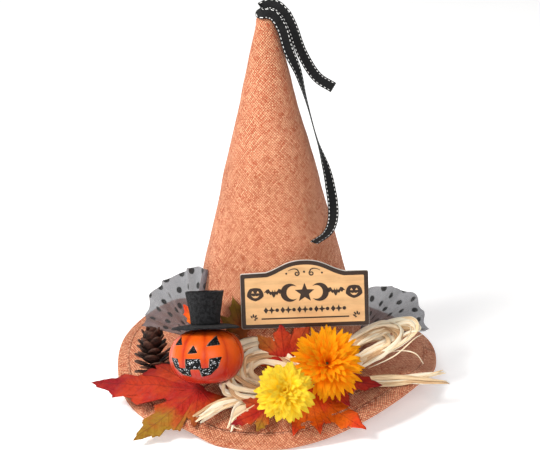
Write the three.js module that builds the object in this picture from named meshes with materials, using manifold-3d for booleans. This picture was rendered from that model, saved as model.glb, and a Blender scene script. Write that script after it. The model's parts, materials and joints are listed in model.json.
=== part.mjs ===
// A trimmed witch hat: a cloth crown and brim over card, with a ribbon at the tip, a painted sign,
// a jack-o'-lantern in a top hat, a pine cone, two mums, maple leaves, a raffia bow and dotted tulle.
// Millimetres, +Z up, the brim standing on Z = 0 and the front of the hat towards -Y.
import * as THREE from "three";
import { mergeVertices } from "three/addons/utils/BufferGeometryUtils.js";
import Module from "manifold-3d";

const wasm = await Module();
wasm.setup();

// ---- Driving dimensions ----
const GAP = 0.35; // clearance between pieces that touch
const SIDES = 40; // facets round the crown and the brim

const CROWN_RADIUS = 77.5; // outside, where the crown meets the brim
const CROWN_HEIGHT = 291; // from the brim to the top of the tip
const TIP_RADIUS = 8; // of the rounded tip
const CLOTH = 1.0; // thickness of the hat's cloth
const CARD = 0.9; // thickness of the card inside it
const BAND_WIDTH = 16; // height of the band inside the crown

const BRIM_RADIUS = 140; // to the outside of the hem
const BRIM_RISE = 31; // height of the crown's foot above the table
const BRIM_ROLL = 1.6; // above 1, the brim falls more steeply towards its edge
const HEM_WIDTH = 8; // of the turned hem, from the wire inwards
const WIRE_RADIUS = 0.8; // of the wire in the brim's edge

const RIBBON_WIDTH = 9.5;
const RIBBON_THICKNESS = 0.8;

const SIGN_WIDTH = 105;
const SIGN_SHOULDER = 46; // height of the sign at its two ends
const SIGN_ARCH = 10; // rise of the arch above the shoulders
const SIGN_THICKNESS = 3;
const SIGN_FOOT = 75.5; // height of the sign's lower edge above the table
const SIGN_SIDE = 24.5; // from the hat's axis to the middle of the sign

const PUMPKIN_WIDTH = 61;
const PUMPKIN_HEIGHT = 48;
const PUMPKIN_LEAN = 23; // degrees that the pumpkin leans back
const PUMPKIN_TURN = -17; // degrees that its face turns to the hat's right hand
const POCKET_DEPTH = 2.4; // of the carved eyes, nose and mouth
const TOP_HAT_WIDTH = 55; // across the little hat's brim
const TOP_HAT_HEIGHT = 26;
const FELT = 1.5;

const PINE_CONE_HEIGHT = 46;
const PINE_CONE_WIDTH = 37;

const YELLOW_MUM_WIDTH = 50;
const ORANGE_MUM_WIDTH = 60;

const STEM_RADIUS = 1.3; // of a mum's stem
const LEAF_THICKNESS = 0.7;
const RAFFIA_THICKNESS = 3;
const TULLE_THICKNESS = 0.8;

// ---- Small tools ----
const rad = THREE.MathUtils.degToRad;
const vec = (x, y, z) => new THREE.Vector3(x, y, z);
const model = new THREE.Group();

// Adds a named mesh with its own material to a group.
function add(parent, name, geometry, color, roughness = 0.8, metalness = 0) {
  const material = new THREE.MeshStandardMaterial({ color, roughness, metalness });
  const mesh = new THREE.Mesh(geometry, material);
  mesh.name = name;
  parent.add(mesh);
  return mesh;
}

// A closed surface through equal rows of points. Each row is one closed section, counter-clockwise
// as seen from the next row. A ring joins its last row to its first, and a bar has two flat ends.
function loft(rows, ring = false) {
  const count = rows[0].length;
  const points = rows.flat();
  const faces = [];
  const last = ring ? rows.length : rows.length - 1;
  for (let i = 0; i < last; i++) {
    const next = (i + 1) % rows.length;
    for (let j = 0; j < count; j++) {
      const k = (j + 1) % count;
      const [a, b, c, d] = [i * count + j, i * count + k, next * count + k, next * count + j];
      const slant = points[a].distanceTo(points[c]) - points[b].distanceTo(points[d]);
      if (slant < 0) faces.push(a, c, b, a, d, c);
      else faces.push(a, d, b, b, d, c);
    }
  }
  if (!ring) {
    const end = (rows.length - 1) * count;
    for (let j = 1; j < count - 1; j++) faces.push(0, j, j + 1, end, end + j + 1, end + j);
  }
  const geometry = new THREE.BufferGeometry().setFromPoints(points);
  geometry.setIndex(faces);
  return geometry;
}

// A lathe about +Z from a profile of [radius, height] pairs.
function turned(profile, sides) {
  const points = profile.map(([r, z]) => new THREE.Vector2(r, z));
  return new THREE.LatheGeometry(points, sides).rotateX(Math.PI / 2);
}

// Moves every point of a geometry by a function of its place.
function warp(geometry, move) {
  const place = geometry.getAttribute("position");
  const point = new THREE.Vector3();
  for (let i = 0; i < place.count; i++) {
    move(point.fromBufferAttribute(place, i));
    place.setXYZ(i, point.x, point.y, point.z);
  }
  return geometry;
}

// A round bar along a smooth curve through points.
function bar(points, radius, sides = 8, steps = 10) {
  const section = new THREE.Shape();
  section.absarc(0, 0, radius, 0, 2 * Math.PI);
  const path = new THREE.CatmullRomCurve3(points);
  const options = { steps, curveSegments: sides / 2, bevelEnabled: false, extrudePath: path };
  return new THREE.ExtrudeGeometry(section, options);
}

// Booleans, by manifold-3d, on closed geometries that share one frame.
function solid(geometry) {
  const bare = geometry.clone();
  bare.deleteAttribute("normal");
  bare.deleteAttribute("uv");
  const merged = mergeVertices(bare, 1e-4);
  const mesh = { numProp: 3, vertProperties: merged.attributes.position.array };
  mesh.triVerts = new Uint32Array(merged.index.array);
  return new wasm.Manifold(new wasm.Mesh(mesh));
}

function shell(body) {
  const mesh = body.getMesh();
  const geometry = new THREE.BufferGeometry();
  geometry.setAttribute("position", new THREE.BufferAttribute(mesh.vertProperties, 3));
  geometry.setIndex(new THREE.BufferAttribute(mesh.triVerts, 1));
  return geometry;
}

// What is left of a geometry once other solids are taken out of it: its largest piece.
function clear(geometry, ...others) {
  let body = solid(geometry);
  for (const other of others) body = body.subtract(other);
  const pieces = body.decompose().sort((a, b) => b.volume() - a.volume());
  return shell(pieces[0]);
}

// A geometry's solid, thickened by a margin along every axis.
function padded(geometry, margin = GAP) {
  const body = solid(geometry);
  let all = body;
  for (const axis of [0, 1, 2]) {
    for (const side of [-margin, margin]) {
      all = all.add(body.translate([0, 1, 2].map((i) => (i === axis ? side : 0))));
    }
  }
  return all;
}

// The matrix that stands a flat piece, modelled in X and Y with its face to +Z, at a point. Its face
// then looks towards azimuth (0 is the hat's front, positive to +X) and elevation, in degrees.
function facing(point, azimuth, elevation, roll = 0) {
  const turn = new THREE.Matrix4().makeRotationZ(rad(azimuth));
  turn.multiply(new THREE.Matrix4().makeRotationX(rad(90 - elevation)));
  turn.multiply(new THREE.Matrix4().makeRotationZ(rad(roll)));
  return turn.setPosition(point);
}

// ---- The hat's own surfaces ----
const STACK = 2 * CLOTH + CARD + 2 * GAP; // the brim's three layers and the gaps between them
const HEM_HALF = STACK / 2 + GAP + CLOTH; // half the thickness of the hem
const WIRE_RING = BRIM_RADIUS - HEM_HALF; // radius of the ring that the edge wire makes
const CROWN_SLOPE = (CROWN_RADIUS - TIP_RADIUS) / (CROWN_HEIGHT - TIP_RADIUS);
const TIP_TOP = BRIM_RISE + CROWN_HEIGHT;
const BRIM_HOLE = CROWN_RADIUS - CLOTH - CARD - GAP; // radius of the brim's inner edge
const FLATTENING = 0.6; // how far the hem's low places are pressed flat on the table

const crownRadius = (z) => CROWN_RADIUS - CROWN_SLOPE * (z - BRIM_RISE);
const polar = (degrees, radius, z) =>
  vec(radius * Math.cos(rad(degrees)), radius * Math.sin(rad(degrees)), z);

// A place round the crown: an angle from +X, a distance out from its side, and a height above its foot.
const beside = (degrees, out, rise) =>
  polar(degrees, CROWN_RADIUS - CROWN_SLOPE * rise + out, BRIM_RISE + rise);

// The brim's edge rises and falls: [degrees, rise], counter-clockwise from +X, turning evenly
// between them. The places at 0 stand on the table.
const EDGE_WAVE = [
  [-143, 0], [-126, 9], [-109, 0], [-98, 0], [-36, 20], [-6, 8], [35, 0],
  [55, 0], [72, 4], [89, 0], [109, 0], [135, 17], [166, 16], [206, 0], [217, 0],
];

function edgeHeight(angle) {
  let degrees = THREE.MathUtils.radToDeg(angle);
  while (degrees < EDGE_WAVE[0][0]) degrees += 360;
  while (degrees >= EDGE_WAVE[0][0] + 360) degrees -= 360;
  const i = EDGE_WAVE.findIndex(([stop]) => stop > degrees);
  const [[from, low], [to, high]] = [EDGE_WAVE[i - 1], EDGE_WAVE[i]];
  const share = (1 - Math.cos((Math.PI * (degrees - from)) / (to - from))) / 2;
  return HEM_HALF - FLATTENING + low + (high - low) * share;
}

// Height of the middle of the brim's card.
function brimHeight(radius, angle) {
  const edge = edgeHeight(angle);
  const out = Math.min(1, Math.max(0, (radius - BRIM_HOLE) / (WIRE_RING - BRIM_HOLE)));
  const top = BRIM_RISE - STACK / 2;
  return top - (top - edge) * out ** BRIM_ROLL;
}

const brimTop = (x, y) => brimHeight(Math.hypot(x, y), Math.atan2(y, x)) + STACK / 2;

// A place over the brim: an angle from +X, a distance out from the crown's foot, and a height above
// the brim's top there, so what lies on the brim follows its size and its waves.
function overBrim(degrees, out, above) {
  const place = polar(degrees, CROWN_RADIUS + out, 0);
  return place.setZ(brimTop(place.x, place.y) + above);
}

// A ring whose section is a closed list of [radius, height above the card] pairs.
function brimRing(section) {
  const rows = [];
  for (let i = 0; i < SIDES; i++) {
    const angle = (2 * Math.PI * i) / SIDES;
    rows.push(
      section.map(([r, h]) => {
        const z = Math.max(0, brimHeight(r, angle) + h);
        return vec(r * Math.cos(angle), r * Math.sin(angle), z);
      }),
    );
  }
  return loft(rows, true);
}

// Radii from the brim's hole to the inner edge of its hem, where its layers bend.
const BRIM_STOPS = [0, 1, 2, 3].map((i) => BRIM_HOLE + ((WIRE_RING - HEM_WIDTH - BRIM_HOLE) * i) / 3);

// One layer of the brim, between two heights over the card's middle.
function brimLayer(low, high) {
  const stops = [...BRIM_STOPS, WIRE_RING - WIRE_RADIUS - GAP];
  const under = stops.map((r) => [r, low]);
  const over = stops.toReversed().map((r) => [r, high]);
  return brimRing([...under, ...over]);
}

// ---- Crown and brim ----
const crown = new THREE.Group();
model.add(crown);

// The profile of one cone-shaped skin, of a given thickness, set in from the crown's outside.
function crownSkin(inset, thickness, foot) {
  const outer = TIP_RADIUS - inset;
  const shoulder = TIP_TOP - TIP_RADIUS;
  const line = (depth, z) => [crownRadius(z) - depth, z];
  const round = (radius, degrees) => [
    Math.max(0, radius) * Math.cos(rad(degrees)),
    shoulder + Math.max(0, radius) * Math.sin(rad(degrees)),
  ];
  const stops = [0, 30, 60, 90];
  const profile = [line(inset + thickness, foot)];
  profile.push(...stops.map((degrees) => round(outer - thickness, degrees)));
  profile.push(...stops.toReversed().map((degrees) => round(outer, degrees)));
  profile.push(line(inset, foot), line(inset + thickness, foot));
  return turned(profile.toReversed(), SIDES);
}

const crownFoot = BRIM_RISE + GAP;
add(crown, "crown_cloth", crownSkin(0, CLOTH, crownFoot), 0xdc9b7c, 0.95);
add(crown, "crown_card", crownSkin(CLOTH + GAP, CARD, crownFoot), 0xcdb9a0, 0.9);

const bandRadius = BRIM_HOLE - GAP - 0.4;
const bandFoot = BRIM_RISE - STACK - 2;
const band = [
  [bandRadius - 1, bandFoot],
  [bandRadius, bandFoot],
  [bandRadius, BRIM_RISE],
  [crownRadius(bandFoot + BAND_WIDTH) - CLOTH - CARD - 3 * GAP, bandFoot + BAND_WIDTH],
  [crownRadius(bandFoot + BAND_WIDTH) - CLOTH - CARD - 3 * GAP - 1, bandFoot + BAND_WIDTH],
  [bandRadius - 1, BRIM_RISE],
  [bandRadius - 1, bandFoot],
];
add(crown, "inner_band", turned(band, SIDES), 0x3a2a22, 0.85);

const half = CARD / 2;
add(crown, "brim_top_cloth", brimLayer(half + GAP, half + GAP + CLOTH), 0xdc9b7c, 0.95);
add(crown, "brim_card", brimLayer(-half, half), 0xcdb9a0, 0.9);
add(crown, "brim_under_cloth", brimLayer(-half - GAP - CLOTH, -half - GAP), 0xc98a66, 0.95);

// The hem is a strip of the same cloth, folded over the wire and the edges of the three layers.
function hemSection() {
  const turn = (radius, from, to, steps) =>
    Array.from({ length: steps + 1 }, (_, i) => {
      const angle = rad(from + ((to - from) * i) / steps);
      return [WIRE_RING + radius * Math.cos(angle), radius * Math.sin(angle)];
    });
  const outside = turn(HEM_HALF, -90, 90, 6);
  const inside = turn(HEM_HALF - CLOTH, 90, -90, 4);
  const inner = WIRE_RING - HEM_WIDTH;
  return [
    [inner, -HEM_HALF],
    ...outside,
    [inner, HEM_HALF],
    [inner, HEM_HALF - CLOTH],
    ...inside,
    [inner, CLOTH - HEM_HALF],
  ];
}
add(crown, "brim_hem", brimRing(hemSection()), 0xc4805c, 0.95);

const wireSection = Array.from({ length: 6 }, (_, i) => [
  WIRE_RING + WIRE_RADIUS * Math.cos((Math.PI * i) / 3),
  WIRE_RADIUS * Math.sin((Math.PI * i) / 3),
]);
add(crown, "brim_edge_wire", brimRing(wireSection), 0x8d8f92, 0.4, 1);

// Solids of the hat itself, a little grown, to keep the trimmings clear of it.
const crownBody = solid(
  turned(
    [
      [0, TIP_TOP + GAP],
      [TIP_RADIUS + GAP, TIP_TOP - TIP_RADIUS + 2],
      [CROWN_RADIUS + CROWN_SLOPE * BRIM_RISE + GAP + 0.3, 0],
      [0, 0],
    ].toReversed(),
    SIDES,
  ),
);
const brimBody = solid(
  brimRing([
    [BRIM_HOLE, -8],
    [BRIM_RADIUS, -8],
    [BRIM_RADIUS + GAP, 0],
    [BRIM_RADIUS - 1, HEM_HALF + GAP],
    ...BRIM_STOPS.toReversed().map((r) => [r, HEM_HALF + GAP]),
  ]),
);

// ---- Ribbon ----
// A flat ribbon along points, each with the direction of its width.
function ribbon(stops, width, thickness) {
  const path = new THREE.CatmullRomCurve3(stops.map(([point]) => point));
  const across = new THREE.CatmullRomCurve3(stops.map(([, side]) => side));
  const steps = 3 * (stops.length - 1);
  const rows = [];
  for (let i = 0; i <= steps; i++) {
    const middle = path.getPoint(i / steps);
    const ahead = path.getTangent(i / steps);
    const side = across.getPoint(i / steps);
    side.addScaledVector(ahead, -side.dot(ahead)).normalize();
    const normal = new THREE.Vector3().crossVectors(ahead, side);
    const corner = (s, n) =>
      middle
        .clone()
        .addScaledVector(side, (s * width) / 2)
        .addScaledVector(normal, (n * thickness) / 2);
    rows.push([corner(-1, 1), corner(1, 1), corner(1, -1), corner(-1, -1)]);
  }
  return loft(rows);
}

const HINGE_X = 13; // where both tails leave the fold
const LANE = RIBBON_WIDTH / 2 + 0.5; // each tail runs this far to its side of the tip
const ribbons = new THREE.Group();
ribbons.position.set(0, 0, TIP_TOP);
model.add(ribbons);

const alongY = vec(0, 1, 0);
const foldWidth = 2 * RIBBON_WIDTH + 1;
const fold = [
  [vec(-TIP_RADIUS - 1, 0, -7), alongY],
  [vec(-6, 0, 2), alongY],
  [vec(2, 0, 7.5), alongY],
  [vec(9, 0, 6), alongY],
  [vec(HINGE_X, 0, 0.5), alongY],
];
add(ribbons, "ribbon_fold", ribbon(fold, foldWidth, RIBBON_THICKNESS), 0x171717, 0.7);
add(ribbons, "ribbon_tack", new THREE.SphereGeometry(2.2, 10, 6).translate(1, 0, 2.8), 0x222222, 0.6);

// The long tail runs in front of the tip, turns edge-on half way down, and curls to the front.
// Its places are measured down from the tip, out from the crown's side and towards the front.
function tailStop(down, out, front, side) {
  const r = crownRadius(TIP_TOP - down) + out;
  const x = Math.sqrt(Math.max(1, r * r - front * front));
  return [vec(x, -front, -down), side];
}
const flatOn = vec(0.85, 0.05, 0.5);
const longTail = [
  [vec(HINGE_X + 0.4, -LANE, -2.5), alongY],
  [vec(16, -LANE - 1, -11), vec(0.3, 1, 0.3)],
  tailStop(29, 8, 8.5, flatOn),
  tailStop(47, 9, 9, flatOn),
  tailStop(82, 8, 8, vec(0.6, 0.9, 0.2)),
  tailStop(107, 8, 8, vec(0.1, 1, 0.1)),
  tailStop(141, 9, 12, vec(0.8, 0.5, 0)),
  tailStop(165, 9, 22, vec(0.9, 0.1, 0)),
  tailStop(180, 11, 36, vec(0.7, 0.1, 0.7)),
  tailStop(179, 11, 50, vec(0.2, 0.1, 1)),
];
add(ribbons, "ribbon_long_tail", ribbon(longTail, RIBBON_WIDTH, RIBBON_THICKNESS), 0x171717, 0.7);

const shortTail = [
  [vec(HINGE_X + 0.4, LANE, -2.5), alongY],
  [vec(19, LANE + 1, -10), vec(0.5, 1, 0.4)],
  [vec(27, LANE + 2, -33), flatOn],
  [vec(40, LANE + 2, -54), vec(0.7, 0.1, 0.6)],
  [vec(54, LANE + 2, -65), vec(0.5, 0.1, 0.8)],
];
add(ribbons, "ribbon_short_tail", ribbon(shortTail, RIBBON_WIDTH, RIBBON_THICKNESS), 0x171717, 0.7);

// ---- Sign ----
// An outline with two square shoulders and an ogee arch between them, set in by a margin.
function signOutline(inset) {
  const w = SIGN_WIDTH / 2 - inset;
  const top = SIGN_SHOULDER - inset;
  const corner = 3.5;
  const arch = 0.32 * SIGN_WIDTH;
  const outline = new THREE.Shape();
  outline.moveTo(-w + corner, inset);
  outline.lineTo(w - corner, inset);
  outline.quadraticCurveTo(w, inset, w, inset + corner);
  outline.lineTo(w, top - corner);
  outline.quadraticCurveTo(w, top, w - corner, top);
  outline.lineTo(arch, top);
  outline.bezierCurveTo(0.6 * arch, top + 0.3 * SIGN_ARCH, 0.5 * arch, top + SIGN_ARCH, 0, top + SIGN_ARCH);
  outline.bezierCurveTo(-0.5 * arch, top + SIGN_ARCH, -0.6 * arch, top + 0.3 * SIGN_ARCH, -arch, top);
  outline.lineTo(-w + corner, top);
  outline.quadraticCurveTo(-w, top, -w, top - corner);
  outline.lineTo(-w, inset + corner);
  outline.quadraticCurveTo(-w, inset, -w + corner, inset);
  return outline;
}
const slab = (outline, depth, from) =>
  new THREE.ExtrudeGeometry(outline, { depth, curveSegments: 6, bevelEnabled: false }).translate(0, 0, from);

const PAD = 2.5; // thickness of the glue between the sign and the crown
const crownTilt = THREE.MathUtils.radToDeg(Math.atan(CROWN_SLOPE));
const signFoot = vec(SIGN_SIDE, -crownRadius(SIGN_FOOT) - PAD, SIGN_FOOT);
const signFrame = facing(signFoot, 0, crownTilt);
const sign = new THREE.Group();
sign.applyMatrix4(signFrame);
model.add(sign);
add(sign, "sign_board", slab(signOutline(0), SIGN_THICKNESS, 0), 0xe9e2d6, 0.7);
add(sign, "sign_face_print", slab(signOutline(0.6), 0.35, SIGN_THICKNESS + GAP), 0xdaa86c, 0.6);

const signPad = new THREE.BoxGeometry(18, 30, 2 * PAD).translate(-SIGN_SIDE, 20, -PAD - GAP);
signPad.applyMatrix4(signFrame);
add(model, "sign_glue_pad", clear(signPad, crownBody), 0xefe9d8, 0.3);

// ---- Jack-o'-lantern ----
const pumpkinPlace = overBrim(-122, PUMPKIN_WIDTH / 2 + 0.14, 38.9);
const pumpkin = new THREE.Group();
pumpkin.position.copy(pumpkinPlace);
pumpkin.rotation.set(rad(-PUMPKIN_LEAN), 0, 0);
model.add(pumpkin);
pumpkin.updateMatrixWorld(true);

// A ribbed, squashed ball, shrunk by a depth, with a dimple at each end.
const PUMPKIN_RIBS = 10;
function pumpkinBall(depth, sides = 30, rings = 12) {
  const ball = new THREE.SphereGeometry(1, sides, rings).rotateX(Math.PI / 2);
  return warp(ball, (p) => {
    const flat = Math.hypot(p.x, p.y);
    const rib = 1 - 0.045 * flat * (0.5 - 0.5 * Math.cos(PUMPKIN_RIBS * Math.atan2(p.y, p.x)));
    const swell = (PUMPKIN_WIDTH / 2 - depth) * rib * (flat > 0 ? flat ** -0.12 : 1);
    const dimple = 1 - 0.14 * (1 - flat) ** 2;
    p.set(p.x * swell, p.y * swell, p.z * (PUMPKIN_HEIGHT / 2 - depth) * dimple);
  });
}

// The cut-outs, drawn on a plane in front of the face. Each is a list of points.
const eye = (x, z, w, h) => [[x - w, z - h], [x + w, z - 0.8 * h], [x + 0.1 * w, z + h]];
const FACE = {
  pumpkin_left_eye: eye(-15.5, 14, 4.2, 3.6),
  pumpkin_right_eye: eye(14, 14, 5.2, 4.2),
  pumpkin_nose: eye(-1, 7.3, 4.2, 3.3),
  pumpkin_mouth: [
    [-23, 1], [-19.5, -7], [-12, -13], [-4.3, -14.6], [-4, -8.3], [3.5, -8.3], [4, -14.6],
    [11.5, -13], [18, -7], [21, 1.5], [12, 0.5], [11, -7], [5.6, -7.3], [5, 0.5], [-8, 0.5],
    [-8.6, -7.3], [-14, -7], [-15, 0.5],
  ],
};
// A corner of a counter-clockwise outline, moved inwards from both of its sides by the same amount.
function insetCorner(points, i, inset) {
  const [before, here, after] = [-1, 0, 1].map((step) => {
    return new THREE.Vector2(...points[(i + step + points.length) % points.length]);
  });
  const along = here.clone().sub(before).normalize();
  const away = after.clone().sub(here).normalize();
  const inwards = new THREE.Vector2(-along.y - away.y, along.x + away.x).normalize();
  const lean = Math.max(0.3, -along.y * inwards.x + along.x * inwards.y);
  return here.addScaledVector(inwards, inset / lean);
}
function faceCutter(points, inset) {
  const outline = new THREE.Shape(points.map((_, i) => insetCorner(points, i, inset)));
  const block = slab(outline, PUMPKIN_WIDTH, 0).rotateX(Math.PI / 2);
  return block.rotateZ(rad(PUMPKIN_TURN));
}
let pumpkinBody = solid(pumpkinBall(0));
const pocketFloor = solid(pumpkinBall(POCKET_DEPTH));
for (const points of Object.values(FACE)) {
  pumpkinBody = pumpkinBody.subtract(solid(faceCutter(points, 0)).subtract(pocketFloor));
}
add(pumpkin, "pumpkin_body", shell(pumpkinBody), 0xe8641e, 0.35);
const inlayTop = solid(pumpkinBall(0.7));
const inlayFloor = solid(pumpkinBall(POCKET_DEPTH - GAP));
for (const [name, points] of Object.entries(FACE)) {
  const inlay = solid(faceCutter(points, 0.6)).intersect(inlayTop).subtract(inlayFloor);
  add(pumpkin, name, shell(inlay.decompose()[0]), 0x151515, 0.5);
}

const hatSeat = PUMPKIN_HEIGHT / 2 + 0.5;
const wideHat = TOP_HAT_WIDTH / 2;
const hatBrim = turned(
  [
    [0, hatSeat + FELT], [0.6 * wideHat, hatSeat + FELT], [wideHat, hatSeat + FELT - 1.5],
    [wideHat, hatSeat - 1.5], [0.6 * wideHat, hatSeat], [0, hatSeat],
  ].toReversed(),
  28,
);
add(pumpkin, "pumpkin_hat_brim", hatBrim, 0x2b2b2b, 0.95);
const hatFoot = hatSeat + FELT + GAP;
const hatTop = hatFoot + TOP_HAT_HEIGHT;
const narrow = 0.42 * wideHat;
const wide = 0.57 * wideHat;
const hatCrown = turned(
  [
    [narrow - FELT, hatFoot], [narrow, hatFoot], [wide, hatTop],
    [wide - FELT, hatTop], [narrow - FELT, hatFoot],
  ],
  24,
);
add(pumpkin, "pumpkin_hat_crown", hatCrown, 0x2f2f2f, 0.95);
const lid = wide - FELT - GAP - 0.9;
const hatLid = turned([[0, hatTop - 3.5], [lid - 0.4, hatTop - 3.5], [lid, hatTop - 2], [0, hatTop - 2]], 24);
add(pumpkin, "pumpkin_hat_top", hatLid, 0x2f2f2f, 0.95);

const inWorld = (geometry, group) => geometry.clone().applyMatrix4(group.matrixWorld);
const pumpkinClear = solid(inWorld(pumpkinBall(-0.9, 20, 10), pumpkin));
const topHatHull = turned([[0, hatSeat - 3], [wideHat + 1, hatSeat - 3], [wideHat + 1, hatFoot + 1],
  [wide + 1, hatFoot + 2], [wide + 1, hatTop + 1], [0, hatTop + 1]], 20);
const topHatClear = solid(inWorld(topHatHull, pumpkin));

// The pumpkin is glued to the crown behind it.
const padAxis = vec(pumpkinPlace.x, pumpkinPlace.y, 0).normalize();
const padHeight = pumpkinPlace.z - 8;
const padMiddle = padAxis.clone().multiplyScalar(crownRadius(padHeight) + 4).setZ(padHeight);
const pumpkinPad = new THREE.SphereGeometry(10, 12, 8).translate(padMiddle.x, padMiddle.y, padMiddle.z);
add(model, "pumpkin_glue_pad", clear(pumpkinPad, crownBody, pumpkinClear, brimBody), 0xefe9d8, 0.3);

// ---- Pine cone ----
const conePlace = overBrim(-161.7, 30.93, 26.37);
const coneFrame = facing(conePlace, 0, 0).multiply(new THREE.Matrix4().makeRotationX(rad(-90 - 20)));
const coneTiers = 7;
function pineConeProfile() {
  const profile = [[0, -PINE_CONE_HEIGHT / 2]];
  for (let i = 0; i < coneTiers; i++) {
    const share = (i + 0.5) / coneTiers;
    const r = (PINE_CONE_WIDTH / 2) * Math.sin(Math.PI * (0.16 + 0.72 * share)) ** 0.8;
    const z = -PINE_CONE_HEIGHT / 2 + PINE_CONE_HEIGHT * share;
    profile.push([0.72 * r, z - 1.5], [r, z + 1.5]);
  }
  profile.push([0, PINE_CONE_HEIGHT / 2]);
  return profile;
}
const pineCone = turned(pineConeProfile(), 16).applyMatrix4(coneFrame);
add(model, "pine_cone", clear(pineCone, pumpkinClear, brimBody, crownBody), 0x3a2417, 0.85);
const coneClear = padded(pineCone, 0.5);
// The wire leaves the cone's foot and then lies along the brim: [across, back, above the brim's top].
const coneWireSteps = [[5, -6, 0.57], [23, -2, 1.06]].map(([across, back, above]) => {
  const step = conePlace.clone().add(vec(across, back, 0));
  return step.setZ(brimTop(step.x, step.y) + above);
});
const coneWire = bar([conePlace.clone().add(vec(0, -7.7, -21)), ...coneWireSteps], 0.8, 6, 8);

// ---- Mums ----
// One layer of petals, punched from a single piece of cloth: a notched dish that curls forward.
function petalLayer(radius, petals, cup, rise) {
  const n = 2 * petals;
  const dish = turned([[0, 0], [0.35, 0], [0.7, 0], [1, 0], [0.7, 1], [0.35, 1], [0, 1]], n);
  return warp(dish, (p) => {
    const r = Math.hypot(p.x, p.y);
    const notch = 1 - 0.3 * r * (0.5 - 0.5 * Math.cos(petals * Math.atan2(p.y, p.x)));
    const bend = cup * (r * notch) ** 2;
    p.set(p.x * radius * notch, p.y * radius * notch, rise + bend + 1.1 * p.z);
  });
}
function mum(prefix, frame, width, color, ...others) {
  const r = width / 2;
  const layers = [
    ["outer", petalLayer(r, 14, -3, 0)],
    ["middle", petalLayer(0.86 * r, 12, 5, 2.4)],
    ["inner", petalLayer(0.62 * r, 9, 8, 4.8)],
  ];
  for (const [which, layer] of layers) {
    layer.applyMatrix4(frame);
    const name = prefix + "_" + which + "_petals";
    add(model, name, clear(layer, crownBody, brimBody, ...others), color, 0.8);
  }
  const calyx = turned([[0, -9], [3, -9], [7.5, -2], [7.5, -GAP], [0, -GAP]], 12).applyMatrix4(frame);
  add(model, prefix + "_calyx", clear(calyx, crownBody, brimBody, ...others), 0x5d7a35, 0.7);
  const heart = vec(0, 0, 0).applyMatrix4(frame);
  const back = vec(0, 0, -1).transformDirection(frame);
  const start = heart.clone().addScaledVector(back, 9 + GAP);
  const knee = start.clone().addScaledVector(back, 5);
  const foot = vec(0.87 * heart.x + 4, 0.8 * heart.y, 0);
  foot.z = brimTop(foot.x, foot.y) + 5;
  const stem = bar([start, knee, foot], STEM_RADIUS, 6, 8);
  add(model, prefix + "_stem", clear(stem, crownBody, brimBody, ...others), 0x6b7d3a, 0.7);
  // The space that the flower and its stem take, for the pieces that lie behind them.
  const hull = turned([[0, -9.5 - GAP], [5, -9.5], [r + 1, -5.5], [r + 1, 5], [0.6 * r, 15], [0, 15]], 16);
  return solid(hull.applyMatrix4(frame)).add(solid(bar([start, knee, foot], STEM_RADIUS + GAP, 8, 8)));
}
const yellowFrame = facing(overBrim(-87.5, 50.07, 35.46), -3, 38);
const orangeFrame = facing(overBrim(-68.5, 31.61, 32.68), 8, 42);
const yellowHull = mum("yellow_mum", yellowFrame, YELLOW_MUM_WIDTH, 0xf2d21e, pumpkinClear);
const orangeHull = mum("orange_mum", orangeFrame, ORANGE_MUM_WIDTH, 0xf29a14, yellowHull);

// ---- Raffia bow ----
// The corners of an outline, rounded off.
function rounded(outline) {
  const path = new THREE.CatmullRomCurve3(outline.map(([x, y]) => vec(x, y, 0)), true);
  return path.getPoints(2 * outline.length).slice(0, -1).map((p) => new THREE.Vector2(p.x, p.y));
}

// A bundle of raffia drawn as one flat solid in its own plane: an outline with an optional hole.
function bundle(outline, hole, frame, from) {
  const plate = (points, depth, low) => slab(new THREE.Shape(rounded(points)), depth, low);
  let body = plate(outline, RAFFIA_THICKNESS, from);
  if (hole) body = clear(body, solid(plate(hole, 3 * RAFFIA_THICKNESS, from - RAFFIA_THICKNESS)));
  return body.applyMatrix4(frame);
}
const knot = overBrim(-75, 14.79, 11.63);
const bowFrame = facing(knot, 10, 50);
const flowers = [yellowHull, orangeHull];
const loopLeft = [
  [-6, -2], [-20, -6], [-46, -8], [-66, -2], [-70, 12], [-58, 28], [-36, 32], [-16, 17], [-6, 4],
];
const holeLeft = [[-18, 3], [-36, 0], [-56, 4], [-54, 17], [-36, 22], [-22, 11]];
const loopRight = [
  [6, -2], [20, -4], [40, -2], [70, 6], [96, 20], [98, 34], [76, 42], [50, 36], [26, 20], [6, 4],
];
const holeRight = [[26, 6], [60, 12], [84, 25], [78, 33], [54, 28], [30, 13]];
const tailsLeft = [
  [-5, -5], [-30, -6], [-60, -14], [-95, -17], [-101, -22], [-98, -31],
  [-62, -26], [-73, -34], [-70, -39], [-40, -22], [-6, -9],
];
const tailsRight = [
  [5, -5], [20, -12], [50, -16], [90, -22], [118, -24], [119, -12], [94, -8], [62, -4], [30, -4],
];
const taken = [crownBody, brimBody, pumpkinClear, topHatClear, coneClear, ...flowers];
const signClear = solid(slab(signOutline(-0.5), SIGN_THICKNESS + 2, -0.5).applyMatrix4(signFrame));
taken.push(signClear, padded(model.getObjectByName("pumpkin_glue_pad").geometry));
taken.push(padded(model.getObjectByName("sign_glue_pad").geometry));

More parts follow.
